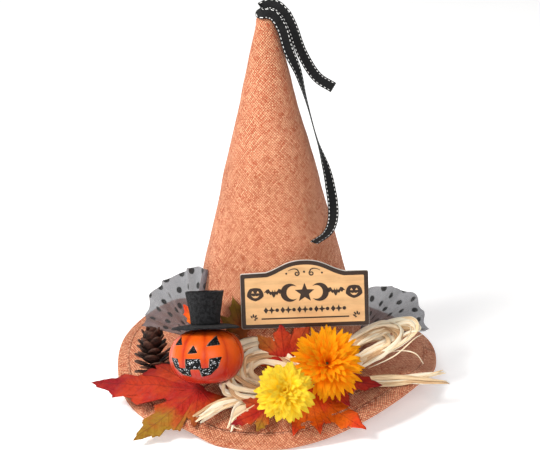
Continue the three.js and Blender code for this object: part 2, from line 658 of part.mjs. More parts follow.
// Adds a trimming that gives way to all that is already there, and takes its own place.
function tuck(name, geometry, color, roughness) {
  const piece = clear(geometry, ...taken);
  add(model, name, piece, color, roughness);
  taken.push(padded(piece));
}
tuck("pine_cone_wire", coneWire, 0x4a3a2c, 0.6);
tuck("raffia_left_loops", bundle(loopLeft, holeLeft, bowFrame, 0), 0xe8d3a4, 0.75);
tuck("raffia_right_loops", bundle(loopRight, holeRight, bowFrame, 0), 0xe8d3a4, 0.75);
tuck("raffia_left_tails", bundle(tailsLeft, null, bowFrame, -RAFFIA_THICKNESS - 1), 0xe8d3a4, 0.75);
tuck("raffia_right_tails", bundle(tailsRight, null, bowFrame, -RAFFIA_THICKNESS - 1), 0xe8d3a4, 0.75);
const tie = new THREE.CylinderGeometry(4.6, 4.6, 9, 12).rotateZ(Math.PI / 2).translate(0, -1, 1.5);
tuck("raffia_tie", tie.applyMatrix4(bowFrame), 0xd9c08c, 0.75);
const bowPad = new THREE.SphereGeometry(7, 10, 8).translate(knot.x, knot.y, knot.z - 8);
tuck("bow_glue_pad", bowPad, 0xefe9d8, 0.3);

// ---- Leaves ----
// A maple leaf's blade from its lobes, each [direction in degrees, length, half its width]. The lobes
// spread from the origin, where the stalk meets the blade.
const LOBE = [[0, 0.2], [0.42, 0.8], [0.6, 1], [0.74, 0.5], [1, 0]]; // [along, half width], as shares
function mapleLeaf(lobes) {
  const middle = slab(new THREE.Shape().absarc(0, 0, 4, 0, 2 * Math.PI), LEAF_THICKNESS, 0);
  let blade = solid(middle);
  for (const [degrees, length, half] of lobes) {
    const right = LOBE.map(([along, side]) => new THREE.Vector2(length * along, -half * side));
    const left = LOBE.slice(0, -1).map(([along, side]) => new THREE.Vector2(length * along, half * side));
    const lobe = new THREE.Shape([...right, ...left.toReversed()]);
    blade = blade.add(solid(slab(lobe, LEAF_THICKNESS, 0).rotateZ(rad(degrees))));
  }
  return shell(blade);
}

// One leaf, a blade and the stiff stalk behind it, at a point and facing a direction.
function leaf(name, color, point, azimuth, elevation, lobes, stalk) {
  const frame = facing(point, azimuth, elevation);
  const blade = mapleLeaf(lobes).applyMatrix4(frame);
  tuck(name + "_blade", blade, color, 0.7);
  if (!stalk) return;
  const [degrees, length] = stalk;
  const places = [2, 0.5 * length, length].map((reach, i) => {
    return vec(reach * Math.cos(rad(degrees)), reach * Math.sin(rad(degrees)), -1.6 - i);
  });
  tuck(name + "_stem", bar(places.map((p) => p.applyMatrix4(frame)), 0.7, 6, 4), 0x8c3a22, 0.6);
}
leaf("left_leaf", 0xc8452a, overBrim(-114.1, 45.16, 6.31), -23.6, 65, [
  [178, 120, 13], [217, 71, 13], [262, 30, 9], [306, 34, 8], [140, 40, 9],
], [40, 26]);
leaf("front_leaf", 0xd9501f, overBrim(-76, 25.61, 7.91), 16.6, 52, [
  [190, 36, 8], [237, 44, 8], [268, 40, 7], [307, 59, 12], [350, 42, 9],
], [100, 14]);
leaf("right_leaf", 0xcf3a1e, overBrim(-68.6, 26.64, 15.2), 6, 60, [
  [300, 34, 8], [346, 48, 9], [28, 30, 8],
], [200, 14]);
leaf("sign_leaf", 0xc03a20, beside(-85.1, 20, 13), 0, 35, [
  [20, 34, 9], [58, 40, 10], [95, 37, 9], [135, 40, 10], [172, 30, 8],
], [270, 14]);
leaf("back_leaf", 0x8a5a2e, beside(-112.2, 2.6, 36), -14, 18, [[74, 26, 6], [108, 34, 7], [142, 26, 6]]);
leaf("hat_leaf", 0xe2641f, beside(-141.7, 9.9, 34), -35, 15, [[62, 30, 7], [100, 38, 8], [138, 30, 7]]);
leaf("small_leaf", 0xb93a24, overBrim(-94.3, 43.79, 14.62), 0, 50, [[160, 22, 6], [204, 33, 7], [245, 22, 6]]);

// ---- Tulle ----
// A pleated fan of net: corners are [direction in degrees, reach], and the pleats rise with reach.
function fan(corners, pleats, frame) {
  const steps = 2 * pleats;
  const rows = [];
  const outline = new THREE.CatmullRomCurve3(corners.map(([d, r]) => vec(d, r, 0)), false, "catmullrom", 0.2);
  for (let i = 0; i <= steps; i++) {
    const { x: degrees, y: reach } = outline.getPoint(i / steps);
    const fold = i % 2 ? 1 : -1;
    const at = (r, lift) =>
      vec(r * Math.cos(rad(degrees)), r * Math.sin(rad(degrees)), fold * 0.06 * r + lift);
    rows.push([at(5, 0), at(reach, 0), at(reach, TULLE_THICKNESS), at(5, TULLE_THICKNESS)]);
  }
  return loft(rows).applyMatrix4(frame);
}
const tulleLeft = facing(beside(-147.5, 6.1, 22), -25, 25);
const tulleRight = facing(beside(-31, 9.5, 22), 25, 25);
tuck("tulle_left", fan([[88, 56], [116, 57], [152, 54], [176, 50]], 8, tulleLeft), 0x9a9aa2, 0.8);
tuck("tulle_right", fan([[-12, 60], [4, 62], [29, 54], [62, 37]], 7, tulleRight), 0x9a9aa2, 0.8);
const knotOf = (frame) => new THREE.SphereGeometry(3.6, 10, 8).applyMatrix4(frame);
tuck("tulle_left_tie", knotOf(tulleLeft), 0x55555a, 0.7);
tuck("tulle_right_tie", knotOf(tulleRight), 0x55555a, 0.7);

// The row's origin is the middle of the hat's footprint on the table.
const extent = new THREE.Box3().setFromObject(model, true);
const footprint = extent.getCenter(new THREE.Vector3());
model.position.set(-footprint.x, -footprint.y, -extent.min.z);

export default model;
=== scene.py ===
"""A decorated witch hat: its cloth, ribbon, sign, pumpkin and harvest trimmings."""

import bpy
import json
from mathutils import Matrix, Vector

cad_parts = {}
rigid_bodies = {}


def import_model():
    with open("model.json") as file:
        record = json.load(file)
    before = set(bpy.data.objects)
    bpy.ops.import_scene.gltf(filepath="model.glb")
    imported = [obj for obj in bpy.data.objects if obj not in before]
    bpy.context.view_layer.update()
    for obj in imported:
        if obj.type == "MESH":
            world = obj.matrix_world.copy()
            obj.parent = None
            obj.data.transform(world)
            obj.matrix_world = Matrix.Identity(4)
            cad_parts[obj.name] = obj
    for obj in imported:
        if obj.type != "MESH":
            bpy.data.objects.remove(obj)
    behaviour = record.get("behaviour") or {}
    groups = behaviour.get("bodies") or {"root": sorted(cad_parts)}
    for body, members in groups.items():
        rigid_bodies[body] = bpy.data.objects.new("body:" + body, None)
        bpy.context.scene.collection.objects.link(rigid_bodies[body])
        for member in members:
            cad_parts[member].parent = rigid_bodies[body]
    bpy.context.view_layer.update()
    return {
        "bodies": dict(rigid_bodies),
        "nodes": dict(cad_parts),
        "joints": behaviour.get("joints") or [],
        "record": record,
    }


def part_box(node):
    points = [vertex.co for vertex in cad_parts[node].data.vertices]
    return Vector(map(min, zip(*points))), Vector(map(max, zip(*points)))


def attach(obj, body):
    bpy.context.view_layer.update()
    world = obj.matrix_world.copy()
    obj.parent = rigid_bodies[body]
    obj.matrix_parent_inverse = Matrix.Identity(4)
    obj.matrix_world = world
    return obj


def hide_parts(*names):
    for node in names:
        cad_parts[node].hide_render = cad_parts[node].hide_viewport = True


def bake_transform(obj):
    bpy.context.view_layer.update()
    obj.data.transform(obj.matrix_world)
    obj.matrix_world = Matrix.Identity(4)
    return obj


bl_info = {
    "name": "Trimmed Witch Hat",
    "version": (1, 0, 0),
    "blender": (4, 5, 0),
    "location": "3D View > Sidebar > Witch Hat",
    "description": "Dresses a witch hat with cloth, ribbon, a painted sign, a pumpkin and harvest trimmings",
    "category": "Add Mesh",
}

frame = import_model()

import json
import math

import bpy
import numpy as np
from mathutils import Matrix, Vector
from mathutils.geometry import tessellate_polygon

# ---- The frame, in millimetres about the crown's own axis ----
MM = 0.001
GAP = 0.35
CROWN_LOW, CROWN_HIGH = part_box("crown_cloth")
AXIS = np.array([(CROWN_LOW.x + CROWN_HIGH.x) / 2, (CROWN_LOW.y + CROWN_HIGH.y) / 2, 0.0])
FOOT = CROWN_LOW.z / MM - GAP
TIP = CROWN_HIGH.z / MM
TIP_RADIUS = 8.0
FOOT_RADIUS = (CROWN_HIGH.x - CROWN_LOW.x) / 2 / MM
SLOPE = (FOOT_RADIUS - TIP_RADIUS) / (TIP - FOOT - TIP_RADIUS)
HEM_LOW, HEM_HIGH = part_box("brim_hem")
BRIM_RADIUS = (HEM_HIGH.x - HEM_LOW.x) / 2 / MM
CLOTH = 1.0
STACK = 3.6
HEM_HALF = 3.15
WIRE_RING = BRIM_RADIUS - HEM_HALF
HEM_WIDTH = 8.0
BRIM_HOLE = FOOT_RADIUS - 2.25


def crown_radius(z):
    return FOOT_RADIUS - SLOPE * (z - FOOT)


def polar(degrees, radius, z):
    return np.array([radius * math.cos(math.radians(degrees)), radius * math.sin(math.radians(degrees)), z])


def beside(degrees, out, rise):
    """A place round the crown: an angle, a distance out from its side and a height above its foot."""
    return polar(degrees, FOOT_RADIUS - SLOPE * rise + out, FOOT + rise)


# The brim's edge rises and falls: degrees from +X, and the rise there.
EDGE_WAVE = (
    (-143, 0), (-126, 9), (-109, 0), (-98, 0), (-36, 20), (-6, 8), (35, 0),
    (55, 0), (72, 4), (89, 0), (109, 0), (135, 17), (166, 16), (206, 0), (217, 0),
)
PRESSED = 0.6  # how far the hem's low places are pressed flat
BRIM_ROLL = 1.6  # above 1, the brim falls more steeply towards its edge


def brim_height(radius, angle):
    """Height of the middle of the brim, for arrays of radii and angles."""
    degrees = (np.degrees(angle) - EDGE_WAVE[0][0]) % 360 + EDGE_WAVE[0][0]
    stops, rises = np.array(EDGE_WAVE, float).T
    i = np.clip(np.searchsorted(stops, degrees, side="right"), 1, len(stops) - 1)
    share = (1 - np.cos(np.pi * (degrees - stops[i - 1]) / (stops[i] - stops[i - 1]))) / 2
    edge = HEM_HALF - PRESSED + rises[i - 1] + (rises[i] - rises[i - 1]) * share
    out = np.clip((radius - BRIM_HOLE) / (WIRE_RING - BRIM_HOLE), 0, 1)
    top = FOOT - STACK / 2
    return top - (top - edge) * out**BRIM_ROLL


def brim_top(x, y):
    return brim_height(np.hypot(x, y), np.arctan2(y, x)) + STACK / 2


def facing(point, azimuth, elevation, roll=0.0):
    """The matrix that stands a flat piece, drawn in X and Y with its face to +Z, at a point."""
    turn = Matrix.Rotation(math.radians(azimuth), 4, "Z")
    turn = turn @ Matrix.Rotation(math.radians(90 - elevation), 4, "X")
    turn = turn @ Matrix.Rotation(math.radians(roll), 4, "Z")
    turn.translation = Vector(point)
    return turn


def moved(matrix, points):
    """Points carried by a matrix."""
    points = np.asarray(points, float)
    m = np.array(matrix)
    return points @ m[:3, :3].T + m[:3, 3]


def smooth_curve(stops, steps):
    """A Catmull-Rom curve through points, with so many steps between each two."""
    stops = np.asarray(stops, float)
    padded = np.vstack([2 * stops[0] - stops[1], stops, 2 * stops[-1] - stops[-2]])
    t = np.linspace(0, 1, steps, endpoint=False)[:, None]
    rows = []
    for i in range(len(stops) - 1):
        a, b, c, d = padded[i : i + 4]
        rows.append(
            0.5 * (
                2 * b + (c - a) * t + (2 * a - 5 * b + 4 * c - d) * t**2 + (3 * b - a - 3 * c + d) * t**3
            )
        )
    return np.vstack([*rows, stops[-1:]])


def unit(v):
    v = np.asarray(v, float)
    return v / np.maximum(np.linalg.norm(v, axis=-1, keepdims=True), 1e-9)


def arc_length(path):
    """How far along a path each of its points lies."""
    return np.concatenate([[0], np.cumsum(np.linalg.norm(np.diff(path, axis=0), axis=1))])


def joined(*parts):
    """Grids of values as one grid of points."""
    return np.stack(np.broadcast_arrays(*parts), axis=-1)


def circle(steps):
    """Angles once round, without the last."""
    return np.linspace(0, 2 * math.pi, steps, endpoint=False)


def spun(points, degrees):
    """Flat points turned about the origin."""
    c, s = math.cos(math.radians(degrees)), math.sin(math.radians(degrees))
    return points @ np.array([[c, s], [-s, c]])


def ring_faces(rings, around):
    """Faces between rings of points, with the last ring joined to the first."""
    return [
        (i * around + j, i * around + (j + 1) % around, k * around + (j + 1) % around, k * around + j)
        for i in range(rings)
        for k in ((i + 1) % rings,)
        for j in range(around)
    ]


def ripple(points, size, seed):
    """A smooth uneven value between about -1 and 1 over points, with waves of about one size."""
    draw = np.random.RandomState(seed)
    total = np.zeros(len(points))
    for _ in range(6):
        way = unit(draw.normal(size=3)) * 2 * math.pi / (size * draw.uniform(0.6, 1.6))
        total += np.sin(points @ way + draw.uniform(0, 6.3))
    return total / 3


def off_hat(points, crown=1.2, brim=1.0):
    """Points kept a little outside the crown and above the brim, and let down gently past its edge."""
    p = np.array(points, float)
    r = np.hypot(p[:, 0], p[:, 1])
    least = np.where(p[:, 2] < TIP, crown_radius(np.minimum(p[:, 2], TIP)) + crown, 0)
    push = np.where(r < least, least / np.maximum(r, 1e-6), 1)
    p[:, 0] *= push
    p[:, 1] *= push
    for _ in range(8):
        r = np.maximum(np.hypot(p[:, 0], p[:, 1]), 1e-6)
        held = np.minimum(1, BRIM_RADIUS / r)
        past = np.maximum(0, r - BRIM_RADIUS)
        over = 1.35 * np.clip((r - WIRE_RING + HEM_WIDTH + 4) / 6, 0, 1) * (past < 9)
        floor = brim_top(p[:, 0] * held, p[:, 1] * held) + over + brim - 0.45 * past - 0.02 * past**2
        short = np.maximum(0, np.maximum(floor, 0.4) - p[:, 2])
        p += short[:, None] * (0.0, -0.7, 0.75)
    return p


class Shape:
    """Points, faces, cloth coordinates and marks, gathered for one piece."""

    def __init__(self):
        self.points, self.faces, self.uv, self.marks, self.count = [], [], [], {}, 0

    def add(self, points, faces, uv=None, **marks):
        points = np.asarray(points, float)
        n = len(points)
        self.faces += [tuple(i + self.count for i in face) for face in faces]
        self.points.append(points)
        self.uv.append(np.zeros((n, 2)) if uv is None else np.asarray(uv, float))
        for key, value in marks.items():
            self.marks.setdefault(key, []).append(np.broadcast_to(np.asarray(value, float), (n,)))
        self.count += n
        return self

    def grid(self, rows, uv=None, around=False, **marks):
        """A sheet through rows of points. Around joins each row's last point to its first."""
        rows = np.asarray(rows, float)
        n, m = rows.shape[:2]
        cols = m if around else m - 1
        faces = [
            (i * m + j, i * m + (j + 1) % m, (i + 1) * m + (j + 1) % m, (i + 1) * m + j)
            for i in range(n - 1)
            for j in range(cols)
        ]
        flat = None if uv is None else np.asarray(uv, float).reshape(-1, 2)
        given = {k: v if np.ndim(v) == 0 else np.asarray(v).reshape(-1) for k, v in marks.items()}
        return self.add(rows.reshape(-1, 3), faces, flat, **given)

    def tube(self, rows, uv=None, **marks):
        """A closed bar through rings of points, with its two ends capped."""
        rows = np.asarray(rows, float)
        n, m = rows.shape[:2]
        start = self.count
        self.grid(rows, uv, around=True, **marks)
        self.faces.append(tuple(start + j for j in reversed(range(m))))
        self.faces.append(tuple(start + (n - 1) * m + j for j in range(m)))
        return self

    def slab(self, outline, low, high, **marks):
        """A flat plate with an outline drawn in X and Y."""
        outline = np.asarray(outline, float)
        n = len(outline)
        area = np.sum(
            outline[:, 0] * np.roll(outline[:, 1], -1) - outline[:, 1] * np.roll(outline[:, 0], -1)
        )
        if area < 0:
            outline = outline[::-1]
        flat = [Vector((x, y, 0)) for x, y in outline]
        faces = []
        for tri in tessellate_polygon([flat]):
            a, b, c = (flat[i] for i in tri)
            if (b - a).cross(c - a).z < 0:
                tri = tri[::-1]
            faces.append(tuple(i + n for i in tri))
            faces.append(tuple(reversed(tri)))
        faces += [(i, (i + 1) % n, n + (i + 1) % n, n + i) for i in range(n)]
        points = np.vstack([np.c_[outline, np.full(n, low)], np.c_[outline, np.full(n, high)]])
        return self.add(points, faces, np.vstack([outline, outline]), **marks)

    def change(self, rule):
        """Every point so far put through a function."""
        lengths = np.cumsum([len(p) for p in self.points])[:-1]
        self.points = np.split(rule(np.vstack(self.points)), lengths)
        return self

    def carry(self, matrix):
        """Every point so far carried by a matrix."""
        return self.change(lambda p: moved(matrix, p))


def cloth_marks(mesh, shape):
    """Writes a shape's cloth coordinates and marks on its mesh."""
    uv = np.vstack(shape.uv)
    layer = mesh.uv_layers.new(name="Cloth")
    index = np.zeros(len(mesh.loops), np.int32)
    mesh.loops.foreach_get("vertex_index", index)
    layer.data.foreach_set("uv", uv[index].astype(np.float32).ravel())
    for name, values in shape.marks.items():
        mark = mesh.attributes.new(name, "FLOAT", "POINT")
        mark.data.foreach_set("value", np.concatenate(values).astype(np.float32))


def linked(name, data):
    """A new object in the scene."""
    made = bpy.data.objects.new(name, data)
    bpy.context.scene.collection.objects.link(made)
    return made


def make(name, shape, finish, body="hat", stands_for=(), thick=0.0, out=0.0, levels=0, sharp=False):
    """Turns a shape, drawn in millimetres, into a piece of the hat with its finish."""
    points = np.vstack(shape.points) * MM + AXIS
    mesh = bpy.data.meshes.new(name)
    mesh.from_pydata(points.tolist(), [], shape.faces)
    mesh.validate()
    mesh.polygons.foreach_set("use_smooth", [not sharp] * len(mesh.polygons))
    cloth_marks(mesh, shape)
    mesh.materials.append(finish)
    piece = linked(name, mesh)
    if thick:
        skin = piece.modifiers.new("thickness", "SOLIDIFY")
        skin.thickness, skin.offset = thick * MM, out
    if levels:
        rounding = piece.modifiers.new("rounding", "SUBSURF")
        rounding.levels = rounding.render_levels = levels
    if body:
        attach(piece, body)
    if stands_for:
        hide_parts(*stands_for)
    return piece


# ---- Shader building ----
def node(tree, kind, inputs=(), out=0, **settings):
    """One shader node with its inputs set or linked, and one of its outputs back."""
    made = tree.nodes.new("ShaderNode" + kind)
    for key, value in settings.items():
        setattr(made, key, value)
    for key, value in dict(inputs).items():
        if isinstance(value, bpy.types.NodeSocket):
            tree.links.new(value, made.inputs[key])
        else:
            made.inputs[key].default_value = value
    return made.outputs[out]


def calc(tree, operation, a, b=0.0, c=0.0):
    return node(tree, "Math", {0: a, 1: b, 2: c}, operation=operation)


def times(tree, a, b):
    return calc(tree, "MULTIPLY", a, b)


def blended(tree, share, a, b, mode="MIX"):
    """Two colours mixed by a share."""
    a, b = (c if isinstance(c, bpy.types.NodeSocket) else (*c[:3], 1.0) for c in (a, b))
    given = {0: share, 6: a, 7: b}
    return node(tree, "Mix", given, out=2, data_type="RGBA", blend_type=mode)


def ranged(tree, value, low, high, to_low=0.0, to_high=1.0):
    """A value's range carried to another, smoothly and clamped."""
    given = {0: value, 1: low, 2: high, 3: to_low, 4: to_high}
    return node(tree, "MapRange", given, interpolation_type="SMOOTHSTEP")


def noise(tree, vector, scale, detail=3.0, out=0):
    given = {"Vector": vector, "Scale": scale, "Detail": detail, "Roughness": 0.55}
    return node(tree, "TexNoise", given, out=out)


def stretched(tree, vector, scale):
    return node(tree, "VectorMath", {0: vector, 1: scale}, operation="MULTIPLY")


def group(name, inputs, outputs, build):
    """A shader node group with named inputs and outputs, built once."""
    tree = bpy.data.node_groups.get(name)
    if tree:
        return tree
    tree = bpy.data.node_groups.new(name, "ShaderNodeTree")
    for title, kind, value in inputs:
        socket = tree.interface.new_socket(title, in_out="INPUT", socket_type="NodeSocket" + kind)
        if value is not None:
            socket.default_value = value
    for title, kind in outputs:
        tree.interface.new_socket(title, in_out="OUTPUT", socket_type="NodeSocket" + kind)
    entry, leave = tree.nodes.new("NodeGroupInput"), tree.nodes.new("NodeGroupOutput")
    for title, socket in build(tree, {s.name: s for s in entry.outputs}).items():
        tree.links.new(socket, leave.inputs[title])
    return tree


def placed(tree, group_tree, **inputs):
    """A node group placed in a material, with all its outputs by name."""
    made = tree.nodes.new("ShaderNodeGroup")
    made.node_tree = group_tree
    for key, value in inputs.items():
        key = key.replace("_", " ").capitalize()
        if isinstance(value, bpy.types.NodeSocket):
            tree.links.new(value, made.inputs[key])
        else:
            made.inputs[key].default_value = value
    return {s.name: s for s in made.outputs}


def plain_weave():
    """Threads over and under each other, for coordinates in millimetres."""

    def build(tree, given):
        turns = node(tree, "VectorMath", {0: given["Cloth"], "Scale": given["Threads"]}, operation="SCALE")
        wander = noise(tree, turns, 0.11, 2.0, out=1)
        bend = node(tree, "VectorMath", {0: wander, 1: (0.5, 0.5, 0.5)}, operation="SUBTRACT")
        bend = node(tree, "VectorMath", {0: bend, "Scale": given["Unevenness"]}, operation="SCALE")
        turns = node(tree, "VectorMath", {0: turns, 1: bend})
        u, v, _ = apart(tree, turns)
        over = calc(
            tree, "PINGPONG", calc(tree, "ADD", calc(tree, "FLOOR", u), calc(tree, "FLOOR", v)), 1.0
        )
        warp = sine_wave(tree, u, math.pi)
        weft = sine_wave(tree, v, math.pi)
        top = node(tree, "Mix", {0: over, 2: warp, 3: weft}, data_type="FLOAT")
        gap = times(tree, warp, weft)
        height = calc(tree, "MULTIPLY_ADD", gap, 0.45, times(tree, top, 0.55))
        warp_tone = noise(tree, stretched(tree, turns, (1.0, 0.16, 1.0)), 1.1, 3.0)
        weft_tone = noise(tree, stretched(tree, turns, (0.16, 1.0, 1.0)), 1.1, 3.0)
        tone = node(tree, "Mix", {0: over, 2: warp_tone, 3: weft_tone}, data_type="FLOAT")
        return {
            "Height": height, "Tone": ranged(tree, tone, 0.3, 0.7), "Cover": ranged(tree, gap, 0.0, 0.5)
        }

    inputs = (("Cloth", "Vector", None), ("Threads", "Float", 0.8), ("Unevenness", "Float", 0.4))
    return group("Plain weave", inputs, (("Height", "Float"), ("Tone", "Float"), ("Cover", "Float")), build)


def mottle():
    """Two colours clouded into each other, with a fine grain over them."""

    def build(tree, given):
        clouds = noise(tree, given["Place"], given["Scale"], 4.0)
        grain = noise(
            tree, node(tree, "VectorMath", {0: given["Place"], "Scale": 14.0}, operation="SCALE"),
            given["Scale"], 2.0,
        )
        share = ranged(tree, clouds, 0.35, 0.65)
        share = calc(tree, "MULTIPLY_ADD", calc(tree, "SUBTRACT", grain, 0.5), given["Grain"], share)
        share = node(tree, "Clamp", {0: share})
        colour = blended(tree, share, given["Low"], given["High"])
        return {"Colour": colour, "Value": share, "Grain": grain}

    inputs = (
        ("Place", "Vector", None), ("Scale", "Float", 40.0), ("Grain", "Float", 0.4),
        ("Low", "Color", (0, 0, 0, 1)), ("High", "Color", (1, 1, 1, 1)),
    )
    return group("Mottle", inputs, (("Colour", "Color"), ("Value", "Float"), ("Grain", "Float")), build)


def handling():
    """Pale wear on the edges of a surface, as a mask."""

    def build(tree, given):
        geometry = tree.nodes.new("ShaderNodeNewGeometry")
        patches = noise(tree, given["Place"], 55.0, 4.0)
        edge = ranged(tree, geometry.outputs["Pointiness"], 0.52, 0.6)
        return {"Wear": times(tree, times(tree, edge, ranged(tree, patches, 0.4, 0.6)), given["Amount"])}

    inputs = (("Place", "Vector", None), ("Amount", "Float", 0.5))
    return group("Handling", inputs, (("Wear", "Float"),), build)


def clouded(tree, place, scale, grain, low, high):
    """A mottle between two colours."""
    tones = {"low": (*low, 1), "high": (*high, 1)}
    return placed(tree, mottle(), place=place, scale=scale, grain=grain, **tones)


def dyed(tree, low, high, scale, grain):
    """A mottle between two colours over the object's own coordinates."""
    return clouded(tree, object_place(tree), scale, grain, low, high)


def apart(tree, vector):
    """A vector's three numbers."""
    return node(tree, "SeparateXYZ", {0: vector}).node.outputs


def sine_wave(tree, value, rate):
    """A wave between 0 and 1 that goes with a value."""
    return calc(tree, "ABSOLUTE", calc(tree, "SINE", times(tree, value, rate)))


def cloth_place(tree):
    return node(tree, "UVMap", uv_map="Cloth")


def object_place(tree):
    return node(tree, "TexCoord", out=3)


def mark(tree, name):
    return node(tree, "Attribute", out=2, attribute_name=name)


def bumped(tree, shader, height, distance, strength=1.0):
    """Feeds a height to the shader's normal. The distance is in metres."""
    normal = node(tree, "Bump", {"Height": height, "Distance": distance, "Strength": strength})
    tree.links.new(normal, shader.inputs["Normal"])


def finish(name, build, **shader_values):
    """A material, made once. Plain values go on the shader's own sockets, and build links the rest."""
    material = bpy.data.materials.get(name)
    if material:
        return material
    material = bpy.data.materials.new(name)
    material.use_nodes = True
    tree = material.node_tree
    shader = tree.nodes["Principled BSDF"]
    for key, value in shader_values.items():
        shader.inputs[key.replace("_", " ").title().replace("Ior", "IOR")].default_value = value
    links = build(tree, shader) or {}
    for title, socket in links.items():
        tree.links.new(socket, shader.inputs[title])
    return material


# ---- Finishes ----
def woven(name, deep, pale):
    """Coarse slubby hat cloth in two tones of one colour, with painted shade in the gaps between its
    threads.
    """

    def build(tree, shader):
        weave = placed(tree, plain_weave(), cloth=cloth_place(tree), threads=0.62, unevenness=0.5)
        patches = dyed(tree, (0.92, 0.9, 0.88), (1.04, 1.04, 1.05), 22.0, 0.5)
        tone = blended(tree, weave["Tone"], deep, pale)
        # Painted shade: the gaps between threads are darkened towards a deep shadow tone.
        shaded = blended(
            tree, calc(tree, "MULTIPLY_ADD", weave["Cover"], -0.8, 0.8), tone, tuple(c * 0.4 for c in deep)
        )
        bumped(tree, shader, weave["Height"], 0.0005, 0.9)
        rough = ranged(tree, weave["Tone"], 0.0, 1.0, 0.9, 0.62)
        return {"Base Color": blended(tree, 1.0, shaded, patches["Colour"], "MULTIPLY"), "Roughness": rough}

    return finish(name, build, sheen_weight=0.05, sheen_roughness=0.5, specular_ior_level=0.3)


def carded():
    def build(tree, shader):
        fibres = clouded(
            tree, stretched(tree, object_place(tree), (1.0, 1.0, 0.3)), 90.0, 0.8, (0.42, 0.32, 0.22),
            (0.62, 0.5, 0.36),
        )
        bumped(tree, shader, fibres["Grain"], 0.0002)
        return {"Base Color": fibres["Colour"], "Roughness": ranged(tree, fibres["Value"], 0, 1, 0.95, 0.8)}

    return finish("Hat card", build, specular_ior_level=0.3)


def taped():
    def build(tree, shader):
        weave = placed(
            tree, plain_weave(), cloth=stretched(tree, object_place(tree), (1000.0, 1000.0, 1000.0)),
            threads=1.3, unevenness=0.2,
        )
        bumped(tree, shader, weave["Height"], 0.0003)
        return {
            "Base Color": blended(tree, weave["Tone"], (0.05, 0.03, 0.025), (0.13, 0.08, 0.07)),
            "Roughness": ranged(tree, weave["Cover"], 0, 1, 0.95, 0.8),
        }

    return finish("Inner band tape", build, sheen_weight=0.2)


def wired(name, dark, light, metal):
    def build(tree, shader):
        drawn = dyed(tree, dark, light, 300.0, 0.6)
        bumped(tree, shader, drawn["Grain"], 0.0001)
        return {"Base Color": drawn["Colour"], "Roughness": ranged(tree, drawn["Value"], 0, 1, 0.3, 0.55)}

    return finish(name, build, metallic=metal)


def grosgrain():
    """Black ribbed ribbon with a white running stitch along each edge."""

    def build(tree, shader):
        across, along, _ = apart(tree, cloth_place(tree))
        rib = sine_wave(tree, along, math.pi / 0.75)
        off = calc(tree, "ABSOLUTE", calc(tree, "SUBTRACT", calc(tree, "ABSOLUTE", across), 3.4))
        line = ranged(tree, off, 0.4, 0.26)
        beat = calc(
            tree, "ABSOLUTE",
            calc(tree, "SUBTRACT", calc(tree, "FRACT", calc(tree, "DIVIDE", along, 3.6)), 0.5),
        )
        dash = times(tree, line, ranged(tree, beat, 0.27, 0.22))
        lint = noise(tree, object_place(tree), 500.0, 3.0)
        black = blended(tree, lint, (0.002, 0.002, 0.002), (0.01, 0.01, 0.0105))
        height = calc(tree, "MULTIPLY_ADD", dash, 1.5, rib)
        bumped(tree, shader, height, 0.00022)
        return {
            "Base Color": blended(tree, dash, black, (0.92, 0.91, 0.88)),
            "Roughness": ranged(tree, rib, 0, 1, 0.8, 0.55),
        }

    return finish("Black grosgrain", build, sheen_weight=0.02, specular_ior_level=0.2)


def threaded(name, dark, light):
    def build(tree, shader):
        ply = clouded(tree, stretched(tree, object_place(tree), (1.0, 1.0, 3.0)), 900.0, 0.6, dark, light)
        bumped(tree, shader, ply["Value"], 0.0002)
        return {"Base Color": ply["Colour"], "Roughness": ranged(tree, ply["Grain"], 0.3, 0.7, 0.9, 0.7)}

    return finish(name, build, sheen_weight=0.25)


def hem_thread():
    return threaded("Hem thread", (0.8, 0.34, 0.18), (1.0, 0.58, 0.36))


def board():
    """Thin fibreboard, sealed with off-white paint that has worn at the corners."""

    def build(tree, shader):
        place = object_place(tree)
        paint = clouded(tree, place, 70.0, 0.4, (0.66, 0.62, 0.54), (0.84, 0.81, 0.75))
        worn = placed(tree, handling(), place=place, amount=0.8)
        bumped(tree, shader, paint["Grain"], 0.00015)
        return {
            "Base Color": blended(tree, worn["Wear"], paint["Colour"], (0.38, 0.24, 0.12)),
            "Roughness": ranged(tree, paint["Value"], 0, 1, 0.75, 0.5),
        }

    return finish("Painted fibreboard", build, specular_ior_level=0.4)


def print_ink(name, low, high, rough=0.5):
    """Screen-printed ink with a faint wood grain showing through."""

    def build(tree, shader):
        place = object_place(tree)
        grain = clouded(tree, stretched(tree, place, (0.25, 1.0, 2.2)), 60.0, 0.7, low, high)
        worn = placed(tree, handling(), place=place, amount=0.12)
        bumped(tree, shader, grain["Grain"], 0.0001)
        faded = blended(tree, worn["Wear"], grain["Colour"], tuple(min(1.0, 1.5 * c + 0.05) for c in high))
        return {
            "Base Color": faded, "Roughness": ranged(tree, grain["Value"], 0, 1, rough + 0.12, rough - 0.1)
        }

    return finish(name, build, specular_ior_level=0.4)


def glued():
    def build(tree, shader):
        cloudy = dyed(tree, (0.6, 0.52, 0.38), (0.8, 0.75, 0.62), 120.0, 0.3)
        bumped(tree, shader, cloudy["Value"], 0.0006)
        return {
            "Base Color": cloudy["Colour"], "Roughness": ranged(tree, cloudy["Grain"], 0.3, 0.7, 0.2, 0.4)
        }

    return finish("Set glue", build, coat_weight=0.3)


